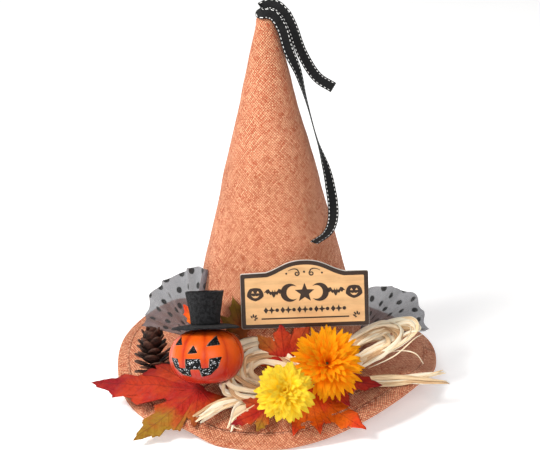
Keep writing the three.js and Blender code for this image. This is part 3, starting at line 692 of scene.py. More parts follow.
def rind():
    """Glossy sprayed paint on the pumpkin: golden orange on the ribs, with painted shade making it red in
    the grooves and darker red towards the bottom.
    """

    def build(tree, shader):
        place = object_place(tree)
        streaks = noise(tree, stretched(tree, place, (1.0, 1.0, 0.25)), 130.0, 4.0)
        # Painted shade in the grooves: the crest mark is low there and near the top and bottom, so those
        # parts go red.
        share = calc(
            tree, "ADD", mark(tree, "crest"), times(tree, calc(tree, "SUBTRACT", streaks, 0.5), 0.7)
        )
        skin = blended(tree, ranged(tree, share, 0.1, 1.0), (0.42, 0.016, 0.003), (0.8, 0.11, 0.008))
        # Painted shade under the pumpkin: darker red towards the bottom.
        painted_shade_below = ranged(tree, mark(tree, "height"), 0.3, -0.6)
        skin = blended(tree, times(tree, painted_shade_below, 0.85), skin, (0.36, 0.006, 0.008))
        worn = placed(tree, handling(), place=place, amount=0.5)
        skin = blended(tree, worn["Wear"], skin, (0.85, 0.5, 0.3))
        bumped(tree, shader, streaks, 0.0002)
        return {"Base Color": skin, "Roughness": ranged(tree, streaks, 0.3, 0.7, 0.38, 0.22)}

    return finish("Pumpkin paint", build, coat_weight=0.06, coat_roughness=0.12, specular_ior_level=0.25)


def rind_edge():
    def build(tree, shader):
        chalk = dyed(tree, (0.5, 0.3, 0.22), (0.8, 0.7, 0.62), 300.0, 0.5)
        bumped(tree, shader, chalk["Grain"], 0.0002)
        return {"Base Color": chalk["Colour"], "Roughness": ranged(tree, chalk["Value"], 0, 1, 0.8, 0.6)}

    return finish("Cut rind edge", build)


def glitter():
    """Black glitter with a few silver flakes that catch the light."""

    def build(tree, shader):
        place = object_place(tree)
        flake = node(tree, "TexVoronoi", {"Vector": place, "Scale": 1500.0}, out=1)
        split = tree.nodes.new("ShaderNodeSeparateColor")
        tree.links.new(flake, split.inputs[0])
        spark = times(tree, ranged(tree, split.outputs[0], 0.86, 0.89), mark(tree, "sparkle"))
        depth = node(tree, "TexVoronoi", {"Vector": place, "Scale": 1500.0}, out=0)
        bumped(tree, shader, calc(tree, "ADD", depth, split.outputs[1]), 0.0004)
        return {
            "Base Color": blended(tree, spark, (0.004, 0.004, 0.005), (0.75, 0.77, 0.8)),
            "Metallic": times(tree, spark, 0.6),
            "Roughness": ranged(tree, split.outputs[2], 0, 1, 0.2, 0.55),
        }

    return finish("Black glitter", build, specular_ior_level=0.12)


def felted():
    def build(tree, shader):
        place = object_place(tree)
        fibres = clouded(tree, place, 420.0, 0.9, (0.004, 0.004, 0.0045), (0.022, 0.022, 0.024))
        brushed = noise(tree, stretched(tree, place, (1.0, 1.0, 0.35)), 260.0, 4.0)
        bumped(tree, shader, calc(tree, "ADD", fibres["Grain"], brushed), 0.0005)
        return {"Base Color": fibres["Colour"], "Roughness": ranged(tree, brushed, 0.3, 0.7, 0.98, 0.85)}

    return finish("Charcoal felt", build, sheen_weight=0.06, sheen_roughness=0.6, specular_ior_level=0.12)


def coned():
    """Dry pine cone scales, dark at the root and paler along the tips: partly their own colour, partly a
    painted highlight.
    """

    def build(tree, shader):
        place = object_place(tree)
        wood = clouded(tree, place, 160.0, 0.7, (0.014, 0.005, 0.0035), (0.07, 0.022, 0.013))
        along = mark(tree, "along")
        # Paler tips: partly the scales' own colour, partly a painted highlight where the tips catch the
        # light.
        lip = times(tree, ranged(tree, along, 0.72, 1.0), ranged(tree, wood["Grain"], 0.3, 0.6))
        wood_colour = blended(tree, times(tree, lip, 0.4), wood["Colour"], (0.16, 0.07, 0.04))
        dusty = placed(tree, handling(), place=place, amount=0.2)
        wood_colour = blended(tree, dusty["Wear"], wood_colour, (0.32, 0.2, 0.12))
        bumped(tree, shader, wood["Value"], 0.0006)
        return {"Base Color": wood_colour, "Roughness": ranged(tree, wood["Grain"], 0.3, 0.7, 0.85, 0.55)}

    return finish("Pine cone scales", build, specular_ior_level=0.35)


def petalled(name, heart, body, tip):
    """Dyed petal cloth: deeper at the root, with fine veins along each petal and a faint painted glow in its
    own colour.
    """

    def build(tree, shader):
        vein = sine_wave(tree, apart(tree, cloth_place(tree))[0], 7.0)
        along, tone = mark(tree, "along"), mark(tree, "tone")
        colour = blended(tree, ranged(tree, along, 0.05, 0.55), heart, body)
        colour = blended(tree, ranged(tree, along, 0.5, 1.0), colour, tip)
        cloud = noise(tree, object_place(tree), 250.0, 3.0)
        shade = calc(tree, "MULTIPLY_ADD", tone, 0.18, calc(tree, "MULTIPLY_ADD", vein, 0.05, 0.85))
        shade = calc(tree, "MULTIPLY_ADD", cloud, 0.12, shade)
        dye = node(tree, "CombineXYZ", {0: shade, 1: shade, 2: shade})
        bumped(tree, shader, calc(tree, "ADD", vein, cloud), 0.00025)
        colour_and_glow = blended(tree, 1.0, colour, dye, "MULTIPLY")
        # Painted light: the same colour also feeds the emission, so the petals glow faintly.
        return {
            "Base Color": colour_and_glow, "Emission Color": colour_and_glow,
            "Roughness": ranged(tree, cloud, 0.3, 0.7, 0.8, 0.6),
        }

    # The faint glow is painted light that brightens the petals.
    return finish(name, build, specular_ior_level=0.1, emission_strength=0.11)


def green(name, dark, light):
    def build(tree, shader):
        skin = dyed(tree, dark, light, 260.0, 0.5)
        bumped(tree, shader, skin["Grain"], 0.0002)
        return {"Base Color": skin["Colour"], "Roughness": ranged(tree, skin["Value"], 0, 1, 0.6, 0.4)}

    return finish(name, build)


def leaf_veins():
    """A midrib down each lobe and side veins slanting off it. Rib is the distance off the midrib."""

    def build(tree, given):
        rib, along = calc(tree, "ABSOLUTE", given["Rib"]), given["Along"]
        middle = ranged(tree, rib, 0.6, 0.1)
        slant = calc(
            tree, "FRACT",
            calc(tree, "DIVIDE", calc(tree, "MULTIPLY_ADD", rib, -0.9, along), given["Spacing"]),
        )
        side = ranged(tree, calc(tree, "ABSOLUTE", calc(tree, "SUBTRACT", slant, 0.5)), 0.07, 0.0)
        side = times(tree, side, ranged(tree, rib, 14.0, 2.0))
        return {
            "Vein": calc(tree, "MAXIMUM", middle, times(tree, side, 0.7)),
            "Swell": calc(tree, "ABSOLUTE", calc(tree, "SUBTRACT", slant, 0.5)),
        }

    inputs = (("Rib", "Float", 0.0), ("Along", "Float", 0.0), ("Spacing", "Float", 7.0))
    return group("Leaf veins", inputs, (("Vein", "Float"), ("Swell", "Float")), build)


def leafed(name, heart, body, tip, vein_colour, ochre):
    """Printed leaf cloth: colours run out from the stalk, with veins and a fine weave."""

    def build(tree, shader):
        place = object_place(tree)
        along, rib = mark(tree, "along"), mark(tree, "rib")
        veins = placed(tree, leaf_veins(), rib=rib, along=mark(tree, "reach"), spacing=7.5)
        cloud = noise(tree, place, 55.0, 5.0)
        fine = noise(tree, place, 420.0, 3.0)
        run = calc(tree, "ADD", along, times(tree, calc(tree, "SUBTRACT", cloud, 0.5), 1.1))
        colour = blended(tree, ranged(tree, run, 0.1, 0.5), heart, body)
        colour = blended(tree, ranged(tree, run, 0.55, 1.0), colour, tip)
        aged = times(tree, mark(tree, "aged"), ranged(tree, run, 0.25, 0.75))
        colour = blended(tree, aged, colour, ochre)
        colour = blended(
            tree, ranged(tree, fine, 0.45, 0.75, 0.0, 0.35), colour, tuple(0.45 * c for c in heart)
        )
        colour = blended(tree, times(tree, veins["Vein"], 0.38), colour, vein_colour)
        height = calc(
            tree, "MULTIPLY_ADD", veins["Swell"], -1.2,
            calc(tree, "MULTIPLY_ADD", veins["Vein"], -0.6, fine),
        )
        bumped(tree, shader, height, 0.0006)
        return {"Base Color": colour, "Roughness": ranged(tree, fine, 0.3, 0.7, 0.62, 0.42)}

    return finish(name, build, specular_ior_level=0.12, sheen_weight=0.02)


def straw():
    """Dry raffia: pale and streaked along its fibres, some strands more tanned than others."""

    def build(tree, shader):
        across, along, _ = apart(tree, cloth_place(tree))
        place = {
            0: times(tree, across, 3.2), 1: times(tree, along, 0.07),
            2: times(tree, mark(tree, "tone"), 50.0),
        }
        fibre = node(tree, "CombineXYZ", place)
        streak = noise(tree, fibre, 1.0, 4.0)
        tone = calc(tree, "MULTIPLY_ADD", calc(tree, "SUBTRACT", streak, 0.5), 1.5, mark(tree, "tone"))
        colour = blended(tree, ranged(tree, tone, 0.05, 0.5), (0.5, 0.25, 0.1), (0.9, 0.66, 0.38))
        colour = blended(tree, ranged(tree, tone, 0.45, 1.0), colour, (1.0, 0.93, 0.74))
        bumped(tree, shader, streak, 0.0005)
        return {"Base Color": colour, "Roughness": ranged(tree, streak, 0.3, 0.7, 0.65, 0.42)}

    return finish("Dry raffia", build, specular_ior_level=0.45, sheen_weight=0.1)


DOT_PITCH, DOT_ROW = 15.0, 13.0


def netted():
    """Grey net with staggered black flock dots. The net lets some of what is behind it through."""

    def build(tree, shader):
        cloth = cloth_place(tree)
        across, along, _ = apart(tree, cloth)
        u = calc(tree, "DIVIDE", across, DOT_PITCH)
        v = calc(tree, "DIVIDE", along, DOT_ROW)
        row = calc(tree, "FLOOR", v)
        u = calc(tree, "ADD", u, times(tree, calc(tree, "PINGPONG", row, 1.0), 0.5))
        du = times(tree, calc(tree, "SUBTRACT", calc(tree, "FRACT", u), 0.5), DOT_PITCH)
        dv = times(tree, calc(tree, "SUBTRACT", calc(tree, "FRACT", v), 0.5), DOT_ROW)
        off = calc(tree, "SQRT", calc(tree, "ADD", times(tree, du, du), times(tree, dv, dv)))
        dot = ranged(tree, off, 3.1, 2.8)
        net = node(
            tree, "TexVoronoi", {"Vector": cloth, "Scale": 1.4, "Randomness": 0.25}, out=0,
            feature="DISTANCE_TO_EDGE",
        )
        strand = ranged(tree, net, 0.16, 0.06)
        cloud = noise(tree, object_place(tree), 120.0, 3.0)
        grey = blended(tree, cloud, (0.085, 0.085, 0.1), (0.17, 0.17, 0.195))
        colour = blended(tree, dot, grey, (0.004, 0.004, 0.005))
        cover = calc(tree, "MAXIMUM", calc(tree, "MULTIPLY_ADD", strand, 0.2, 0.74), dot)
        bumped(tree, shader, calc(tree, "MULTIPLY_ADD", dot, 2.0, strand), 0.00025)
        return {
            "Base Color": colour, "Alpha": cover, "Roughness": ranged(tree, cloud, 0.3, 0.7, 0.85, 0.65)
        }

    return finish("Dotted tulle", build, sheen_weight=0.25)


# ---- Crown and brim ----
def build_crown(colours):
    around, up = 200, 130
    heights = np.concatenate([np.linspace(FOOT + 0.4, TIP - TIP_RADIUS, up), np.full(14, TIP - TIP_RADIUS)])
    radii = crown_radius(heights)
    bend = np.radians(np.linspace(0, 90, 15)[1:])
    radii[up:] = TIP_RADIUS * np.cos(bend)
    heights[up:] = TIP - TIP_RADIUS + (TIP_RADIUS + 2.5) * np.sin(bend)
    radii += 2.2 * np.exp(-(heights - FOOT) / 1.6)
    lap = 1.012  # the cloth overlaps itself by this share of a turn, at the back
    turn = np.linspace(0, lap, around)
    angle = math.pi / 2 + 2 * math.pi * turn
    raised = 0.9 * np.clip((turn - 0.985) / 0.02, 0, 1)
    r = radii[:, None] + raised[None, :] * (radii / FOOT_RADIUS)[:, None] ** 0.3
    rows = joined(r * np.cos(angle), r * np.sin(angle), np.broadcast_to(heights[:, None], r.shape))
    flat = rows.reshape(-1, 3)
    fade = np.clip((flat[:, 2] - FOOT) / 15, 0, 1) * np.clip((TIP - 6 - flat[:, 2]) / 10, 0, 1)
    dent = 0.5 * fade * (ripple(flat, 60, 3) + 0.4 * ripple(flat, 22, 4) - 0.5)
    flat[:, :2] += unit(flat[:, :2]) * np.minimum(dent, 0.3)[:, None]
    half = math.atan(SLOPE)
    slant = (radii / math.sin(half))[:, None]
    cut = turn * 2 * math.pi * math.sin(half)
    uv = joined(slant * np.cos(cut), slant * np.sin(cut))
    cloth = woven("Hat cloth", *colours)
    crown = Shape().grid(flat.reshape(rows.shape), uv)
    make("crown_cloth_cone", crown, cloth, stands_for=("crown_cloth",), thick=CLOTH, out=-1)
    # A running stitch down the lap at the back.
    seam = Shape()
    at = math.pi / 2 + 2 * math.pi * 0.002
    for z in np.arange(FOOT + 6, TIP - 14, 7.0):
        ends = [polar(math.degrees(at), crown_radius(h) + 1.25, h) for h in (z, z + 4.2)]
        stitch(seam, ends, 0.35)
    make("crown_seam_stitches", seam, hem_thread())


def rod(shape, path, radius, sides=8, **marks):
    """A round bar along points, with its two ends capped."""
    path = np.asarray(path, float)
    ahead = unit(np.gradient(path, axis=0))
    side = unit(np.cross(ahead, (0.31, 0.27, 0.91)))
    up = np.cross(side, ahead)
    turn = circle(sides)
    size = np.broadcast_to(np.asarray(radius, float), (len(path),))
    ring = side[:, None] * np.cos(turn)[None, :, None] + up[:, None] * np.sin(turn)[None, :, None]
    rows = path[:, None] + ring * size[:, None, None]
    reach = arc_length(path)
    uv = joined(turn[None] * size.max(), reach[:, None])
    return shape.tube(rows, uv, **marks)


def stitch(shape, ends, radius):
    """One stitch: a thread that comes up, lies along the cloth and goes down again."""
    a, b = (np.asarray(p, float) for p in ends)
    share = np.linspace(0, 1, 7)[:, None]
    path = a + (b - a) * share
    sink = unit(np.array([a[0], a[1], 0.0])) * (0.9 * (2 * share - 1) ** 4)
    return rod(shape, path - sink, radius * (1 - 0.5 * (2 * share[:, 0] - 1) ** 4), 6)


def brim_rows(stops, heights, around=240):
    """Rows round the brim, each at a radius and at a height over the middle of its card."""
    angle = circle(around)
    rows = []
    for radius, height in zip(stops, heights):
        z = np.maximum(brim_height(np.full(around, radius), angle) + height, 0)
        rows.append(joined(radius * np.cos(angle), radius * np.sin(angle), z))
    return np.array(rows), angle


def build_brim(colours, shade):
    cloth = woven("Hat cloth", *colours)
    # Painted shade: the cloth under the brim is a darkened copy of the hat cloth, standing in for the shade
    # beneath the brim.
    under = woven("Under cloth", *(tuple(c * shade for c in tone) for tone in colours))
    hem = woven("Hem cloth", *(tuple(c * 0.97 for c in tone) for tone in colours))
    level = STACK / 2
    covered = WIRE_RING - HEM_WIDTH + 0.5
    for name, height, skin, slot, node_name, out in (
        ("brim_top_weave", level, cloth, "hat_cloth", "brim_top_cloth", -1),
        ("brim_under_weave", -level, under, "under_cloth", "brim_under_cloth", 1),
    ):
        stops = np.linspace(BRIM_HOLE + 0.4, covered if height > 0 else WIRE_RING - 1.3, 46)
        rows, _ = brim_rows(stops, np.full(len(stops), height))
        flat = rows.reshape(-1, 3)
        uv = spun(flat[:, :2], -27)
        if height > 0:  # the cloth lies a little loose over the card
            loose = np.clip((np.hypot(flat[:, 0], flat[:, 1]) - FOOT_RADIUS - 3) / 12, 0, 1)
            flat[:, 2] += 0.16 * loose * (ripple(flat, 34, 8) - 0.4)
            rise = np.clip((np.hypot(flat[:, 0], flat[:, 1]) - WIRE_RING + HEM_WIDTH + 12) / 12, 0, 1)
            flat[:, 2] += 1.33 * rise**2 * (3 - 2 * rise)
        sheet = Shape().grid(flat.reshape(rows.shape), uv.reshape(*rows.shape[:2], 2), around=True)
        sheet.faces = [tuple(reversed(f)) for f in sheet.faces]
        make(name, sheet, skin, stands_for=(node_name,), thick=CLOTH, out=out)
    # The hem: a strip folded over the wire, from its inner edge below to its inner edge above.
    inner = WIRE_RING - HEM_WIDTH
    bend = np.radians(np.linspace(-90, 90, 15))
    section = [(inner, -HEM_HALF), (inner + 4, -HEM_HALF)]
    section += [(WIRE_RING + HEM_HALF * math.cos(a), HEM_HALF * math.sin(a)) for a in bend]
    section += [(inner + 4, HEM_HALF), (inner, HEM_HALF)]
    section += [(inner, HEM_HALF - CLOTH), (inner + 4, HEM_HALF - CLOTH)]
    thin = HEM_HALF - CLOTH
    section += [(WIRE_RING + thin * math.cos(a), thin * math.sin(a)) for a in bend[::-1]]
    section += [(inner + 4, -thin), (inner, -thin)]
    rows, angle = brim_rows(*zip(*section))
    lengths = arc_length(section + section[:1])
    uv = joined(angle[None] * WIRE_RING, lengths[:, None])
    # The strip is cut on the slant, so its threads run diagonally round the edge.
    uv = spun(uv, -45)
    faces = ring_faces(len(section), len(angle))
    band = Shape().add(rows.reshape(-1, 3), faces, uv[:-1].reshape(-1, 2))
    make("brim_hem_fold", band, hem, stands_for=("brim_hem",))
    stitches = Shape()
    radius, count = inner + 1.6, 118
    for i in range(count):
        share = np.linspace(0, 1, 7)
        turn = 2 * math.pi * (i + 0.62 * share) / count
        z = brim_height(np.full(7, radius), turn) + HEM_HALF + 0.25 - 0.6 * (2 * share - 1) ** 4
        path = np.c_[radius * np.cos(turn), radius * np.sin(turn), z]
        rod(stitches, path, 0.26 * (1 - 0.5 * (2 * share - 1) ** 4), 6)
    make("brim_hem_stitches", stitches, hem_thread())


def keep_solid(name, material):
    """Gives a CAD node that is shown its finish."""
    piece = frame["nodes"][name]
    if not piece.material_slots:
        piece.data.materials.append(material)
    for each in piece.material_slots:
        each.material = material


# ---- Ribbon ----
RIBBON_CUP = 0.3
RIBBON_FOLDED = 31.0  # the length of ribbon taken up by the fold at the tip


def ribbon_sheet(stops, width, start=0.0):
    """A flat ribbon along points with the directions of its width, as rows and cloth coordinates."""
    path, side = (smooth_curve(each, 14) for each in zip(*stops))
    ahead = unit(np.gradient(path, axis=0))
    side = unit(side - ahead * np.sum(side * ahead, axis=1, keepdims=True))
    normal = np.cross(ahead, side)
    across = np.linspace(-1, 1, 9)
    rows = path[:, None] + side[:, None] * (across * width / 2)[None, :, None]
    rows += normal[:, None] * (RIBBON_CUP * (across**2 - 0.5))[None, :, None]
    reach = start + arc_length(path)
    uv = joined((across * width / 2)[None], reach[:, None])
    return rows, uv, reach[-1]


def tail_stop(down, out, front, side):
    """A stop of the long tail: how far below the tip, how far off the crown and how far to the front."""
    r = crown_radius(TIP - down) + out
    return np.array([math.sqrt(max(1.0, r * r - front * front)), -front, TIP - down]), side


def build_ribbon(width):
    black = grosgrain()

    def tip(x, y, z):
        return np.array([x, y, TIP + z])

    leaning = (0.6, 0.25, 0.76)
    wrap = [
        (10.6, -7.4, -4.5), (6.5, -7.4, 0.8), (1.5, -7.2, 2.6), (-2.8, -5.6, 2.0), (-4.6, -2.4, 2.6),
        (-3.0, 0.6, 5.6), (3.0, 0.2, 8.4), (10.0, -2.6, 7.0), (16.6, -4.0, 0.5),
    ]
    rows, uv, _ = ribbon_sheet([(tip(*at), leaning) for at in wrap], width - 0.2)
    make(
        "ribbon_tip_fold", Shape().grid(rows, uv), black, stands_for=("ribbon_fold",),
        thick=0.6,
    )
    tack = Shape()
    draw = np.random.RandomState(5)
    for i in range(9):
        a = 0.45 * i + draw.uniform(-0.1, 0.1)
        turn = np.linspace(0, 2 * math.pi, 15)
        loop = joined(
            1.9 * np.cos(turn), 1.5 * np.sin(turn) * math.cos(a), 1.5 * np.sin(turn) * math.sin(a)
        )
        rod(tack, loop + tip(1.0, 0.0, 2.9), 0.35, 6)
    make(
        "ribbon_tack_stitches", tack, threaded("Black thread", (0.006, 0.006, 0.006), (0.05, 0.05, 0.05)),
        stands_for=("ribbon_tack",),
    )
    long_tail = [
        (tip(10.4, -7.4, -4.2), leaning), (tip(14.0, -8.0, -13), (0.75, 0.2, 0.6)),
        tail_stop(29, 7, 9, (0.8, 0.3, 0.45)), tail_stop(47, 9, 9, (0.55, 0.8, 0.25)),
        tail_stop(72, 8.5, 8, (0.1, 1, 0.05)), tail_stop(107, 8, 8, (0.05, 1, 0)),
        tail_stop(132, 9, 9, (0.7, 0.7, 0)), tail_stop(147, 9, 13, (0.92, 0.35, 0.05)),
        tail_stop(160, 9.5, 20, (0.95, 0.1, 0.1)), tail_stop(170, 10.5, 30, (0.9, -0.2, 0.15)),
        tail_stop(176, 11.5, 41, (0.85, -0.42, 0.12)), tail_stop(179, 12, 52, (0.8, -0.6, 0.08)),
    ]
    short_tail = [
        (tip(16.4, -4.0, 0.8), leaning), (tip(21.5, -3.0, -11), (0.7, 0.2, 0.66)),
        (tip(28.5, 0.0, -33), (0.85, 0.05, 0.5)), (tip(40, 2.0, -54), (0.75, 0.1, 0.6)),
        (tip(54, 4.0, -65), (0.55, 0.3, 0.75)),
    ]
    for name, stops, body, node_name in (
        ("ribbon_long_end", long_tail, "long_tail", "ribbon_long_tail"),
        ("ribbon_short_end", short_tail, "short_tail", "ribbon_short_tail"),
    ):
        rows, uv, length = ribbon_sheet(stops, width, RIBBON_FOLDED)
        tail = Shape().grid(rows, uv)
        piece = make(name, tail, black, body=None, stands_for=(node_name,), thick=0.6)
        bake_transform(piece)


# ---- Sign ----
SIGN_LOW, SIGN_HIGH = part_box("sign_board")
SIGN_WIDTH = (SIGN_HIGH.x - SIGN_LOW.x) / MM
SIGN_FOOT, SIGN_SIDE, SIGN_SHOULDER, SIGN_ARCH, SIGN_THICK = 75.5, 24.5, 46.0, 10.0, 3.0
SIGN_FRAME = facing(
    (SIGN_SIDE, -crown_radius(SIGN_FOOT) - 2.5, SIGN_FOOT), 0, math.degrees(math.atan(SLOPE))
)


def bezier(a, b, c, d, steps=16):
    t = np.linspace(0, 1, steps, endpoint=False)[:, None]
    a, b, c, d = (np.asarray(p, float) for p in (a, b, c, d))
    return a * (1 - t) ** 3 + 3 * b * t * (1 - t) ** 2 + 3 * c * t**2 * (1 - t) + d * t**3


def sign_outline(inset, corner=3.5):
    """The sign's outline: square shoulders with an ogee arch between them, set in by a margin."""
    w, top, foot = SIGN_WIDTH / 2 - inset, SIGN_SHOULDER - inset, inset
    corner = max(1.2, corner - 0.5 * inset)
    arch = 0.32 * SIGN_WIDTH - 0.3 * inset

    def turn(x, y, sx, sy, first):
        stops = [(x - sx * corner, y), (x, y), (x, y), (x, y - sy * corner)]
        return bezier(*(stops if first else stops[::-1]), 8)

    right = [
        turn(w, foot, 1, -1, True), turn(w, top, 1, 1, False),
        bezier(
            (arch, top), (0.6 * arch, top + 0.3 * SIGN_ARCH), (0.5 * arch, top + SIGN_ARCH),
            (0, top + SIGN_ARCH), 18,
        ),
        bezier(
            (0, top + SIGN_ARCH), (-0.5 * arch, top + SIGN_ARCH), (-0.6 * arch, top + 0.3 * SIGN_ARCH),
            (-arch, top), 18,
        ),
        turn(-w, top, -1, 1, True), turn(-w, foot, -1, -1, False),
    ]
    return np.vstack(right)


def star(x, y, size, points=5, depth=0.42, turn=90.0):
    angles = np.radians(turn + 180.0 / points * np.arange(2 * points))
    reach = size * np.where(np.arange(2 * points) % 2, depth, 1.0)
    return joined(x + reach * np.cos(angles), y + reach * np.sin(angles))


def disc(x, y, size):
    a = circle(18)
    return joined(x + size * np.cos(a), y + size * np.sin(a))


def crescent(x, y, size, turn=0.0):
    outer = np.radians(np.linspace(50, 310, 22))
    inner = np.radians(np.linspace(300, 60, 18))
    shape = np.vstack([
        joined(np.cos(outer), np.sin(outer)),
        joined(0.38 + 0.74 * np.cos(inner), 0.76 * np.sin(inner)),
    ]) * size
    return spun(shape, turn) + (x, y)


def little_bat(x, y, size):
    half = [
        (0.0, 0.22), (0.07, 0.2), (0.12, 0.42), (0.2, 0.2), (0.34, 0.24), (0.5, 0.5), (0.72, 0.44),
        (1.0, 0.12),
        (0.8, 0.16), (0.66, -0.04), (0.5, 0.08), (0.36, -0.14), (0.22, -0.06), (0.1, -0.3), (0.0, -0.42),
    ]
    left = [(-a, b) for a, b in reversed(half[1:-1])]
    return np.array(half + left) * size + (x, y)


def little_gourd(x, y, size):
    a = circle(48)
    r = 1 - 0.1 * np.abs(np.sin(2.5 * a + 0.8)) ** 0.5
    return joined(x + size * 1.05 * r * np.cos(a), y + size * 0.84 * r * np.sin(a))


def scroll(x, y, size, flip):
    """A tapering curl that runs out into a line, as an outline."""
    a = np.linspace(0, 1.15 * 2 * math.pi, 26)
    r = size * (0.16 + 0.3 * a / a[-1])
    curl = joined(-r * np.cos(a), r * np.sin(a))
    tail = bezier(
        curl[-1], curl[-1] + (0.0, 0.5 * size), curl[-1] + (0.9 * size, 0.9 * size),
        curl[-1] + (2.1 * size, 0.0), 16,
    )
    line = np.vstack([curl[:-1], tail]) * (flip, 1.0) + (x, y)
    width = size * 0.11 * np.sin(np.pi * (0.06 + 0.9 * np.linspace(0, 1, len(line)))) ** 0.6 + 0.05
    ahead = unit(np.gradient(line, axis=0))
    side = joined(-ahead[:, 1], ahead[:, 0]) * width[:, None]
    return np.vstack([line + side, (line - side)[::-1]])


def sprig(x, y, size, flip):
    """A corner ornament: small leaves on a bent stalk."""
    shapes = []
    for degrees, reach, long in (
        (20, 0.9, 0.5), (52, 1.05, 0.55), (85, 1.0, 0.55), (118, 0.8, 0.45), (-10, 0.5, 0.35)
    ):
        a = math.radians(degrees)
        way, side = np.array([math.cos(a), math.sin(a)]), np.array([-math.sin(a), math.cos(a)])
        t = circle(14)
        leaf = way * reach * 0.6 + np.cos(t)[
            :, None
        ] * way * long * 0.5 + np.sin(t)[:, None] * side * long * 0.24
        shapes.append(leaf * size * (flip, 1) + (x, y))
    return shapes


def build_sign(tan, brown):
    painted = board()
    body = Shape().slab(sign_outline(0), 0, SIGN_THICK)
    body.carry(SIGN_FRAME)
    piece = make("sign_fibreboard", body, painted, stands_for=("sign_board",), sharp=True)
    soften(piece, 0.35)
    top = SIGN_THICK + GAP
    face = Shape().slab(sign_outline(0.2), SIGN_THICK - 0.05, top - 0.1)
    face.carry(SIGN_FRAME)
    brown_ink = print_ink("Brown ink", tuple(0.7 * c for c in brown), brown, 0.45)
    piece = make(
        "sign_border_print", face, brown_ink, stands_for=("sign_face_print",), sharp=True
    )
    tan_ink = print_ink("Tan ink", tuple(0.78 * c for c in tan), tan, 0.55)
    face = Shape().slab(sign_outline(3.6), top - 0.15, top + 0.12)
    face.carry(SIGN_FRAME)
    make("sign_tan_print", face, tan_ink, sharp=True)
    print_low, print_high = top + 0.06, top + 0.3
    ink = Shape()
    # The row of large motifs, then a row of small ones, with scrolls above and sprigs below.
    for outline in (
        little_gourd(-40.5, 29.0, 7.0), little_bat(-25.4, 29.0, 8.0), crescent(-12.2, 29.4, 7.6),
        star(0.0, 29.0, 8.4), crescent(12.2, 29.4, 7.6, 180), little_bat(25.4, 29.0, 8.0),
        little_gourd(40.5, 29.0, 7.0),
    ):
        ink.slab(outline, print_low, print_high)
    for i in range(15):
        x = -32.2 + 4.6 * i
        if i % 3 == 1:
            ink.slab(star(x, 15.2, 3.1, 4, 0.4), print_low, print_high)
        elif i % 3 == 0:
            ink.slab(
                np.array([(x - 1.9, 15.2), (x, 12.5), (x + 1.9, 15.2), (x, 17.9)]), print_low, print_high
            )
        else:
            ink.slab(disc(x, 15.2, 1.5), print_low, print_high)
    for flip in (-1, 1):
        ink.slab(scroll(flip * 6.0, 45.2, 4.4, flip), print_low, print_high)
        ink.slab(disc(flip * 14.6, 45.4, 0.8), print_low, print_high)
        for leaf in sprig(flip * 43.0, 7.8, 5.4, -flip):
            ink.slab(leaf, print_low, print_high)
    ink.slab(disc(0, 46.6, 0.9), print_low, print_high)
    rule = np.array([(-36.0, 7.6), (36.0, 7.6), (36.0, 8.7), (-36.0, 8.7)])
    ink.slab(rule, print_low, print_high)
    ink.carry(SIGN_FRAME)
    make("sign_motifs", ink, brown_ink, sharp=True)
    # The eyes and grins of the two printed gourds, in the tan of the face.
    light = Shape()
    for x in (-40.5, 40.5):
        for side in (-1, 1):
            light.slab(star(x + 2.1 * side, 30.6, 1.3, 3, 0.5), print_high - 0.05, print_high + 0.12)
        grin = [
            (x - 3.3, 28.0), (x - 1.6, 26.2), (x, 25.8), (x + 1.6, 26.2), (x + 3.3, 28.0), (x + 1.3, 27.3),
            (x, 27.7), (x - 1.3, 27.3),
        ]
        light.slab(np.array(grin), print_high - 0.05, print_high + 0.12)
    light.carry(SIGN_FRAME)
    make("sign_motif_faces", light, tan_ink, sharp=True)


def soften(piece, width):
    """Rounds a piece's sharp edges by a small bevel, in millimetres."""
    bevel = piece.modifiers.new("edges", "BEVEL")
    bevel.width, bevel.segments = width * MM, 2
    bevel.limit_method, bevel.angle_limit = "ANGLE", math.radians(40)


# ---- Jack-o'-lantern and its top hat ----
PUMPKIN_WIDTH, PUMPKIN_HEIGHT, PUMPKIN_LEAN, PUMPKIN_TURN = 61.0, 48.0, 23.0, -17.0
POCKET, RIBS, FELT = 2.4, 10, 1.5
PUMPKIN_PLACE = beside(-122, PUMPKIN_WIDTH / 2 + 8, 32)
PUMPKIN_FRAME = Matrix.Translation(Vector(PUMPKIN_PLACE)) @ Matrix.Rotation(
    math.radians(-PUMPKIN_LEAN), 4, "X"
)


def gourd(depth, sides, rings):
    """A ribbed, squashed ball, shrunk by a depth, with a dimple at each end."""
    lat = np.linspace(-math.pi / 2, math.pi / 2, rings + 1)[1:-1]
    lon = circle(sides)
    flat = np.cos(lat)[:, None] * np.ones(sides)[None]
    tall = np.sin(lat)[:, None] * np.ones(sides)[None]
    crest = np.abs(np.cos(RIBS * lon / 2))[None] ** 0.8
    rib = 1 - 0.018 * flat * (1 - crest)
    swell = (PUMPKIN_WIDTH / 2 - depth) * rib * flat**-0.12
    dimple = 1 - 0.14 * (1 - flat) ** 2
    high = tall * (PUMPKIN_HEIGHT / 2 - depth) * dimple
    return joined(np.cos(lon)[None] * flat * swell, np.sin(lon)[None] * flat * swell, high)


def eye(x, z, w, h):
    return [(x - w, z - h), (x + w, z - 0.8 * h), (x + 0.1 * w, z + h)]


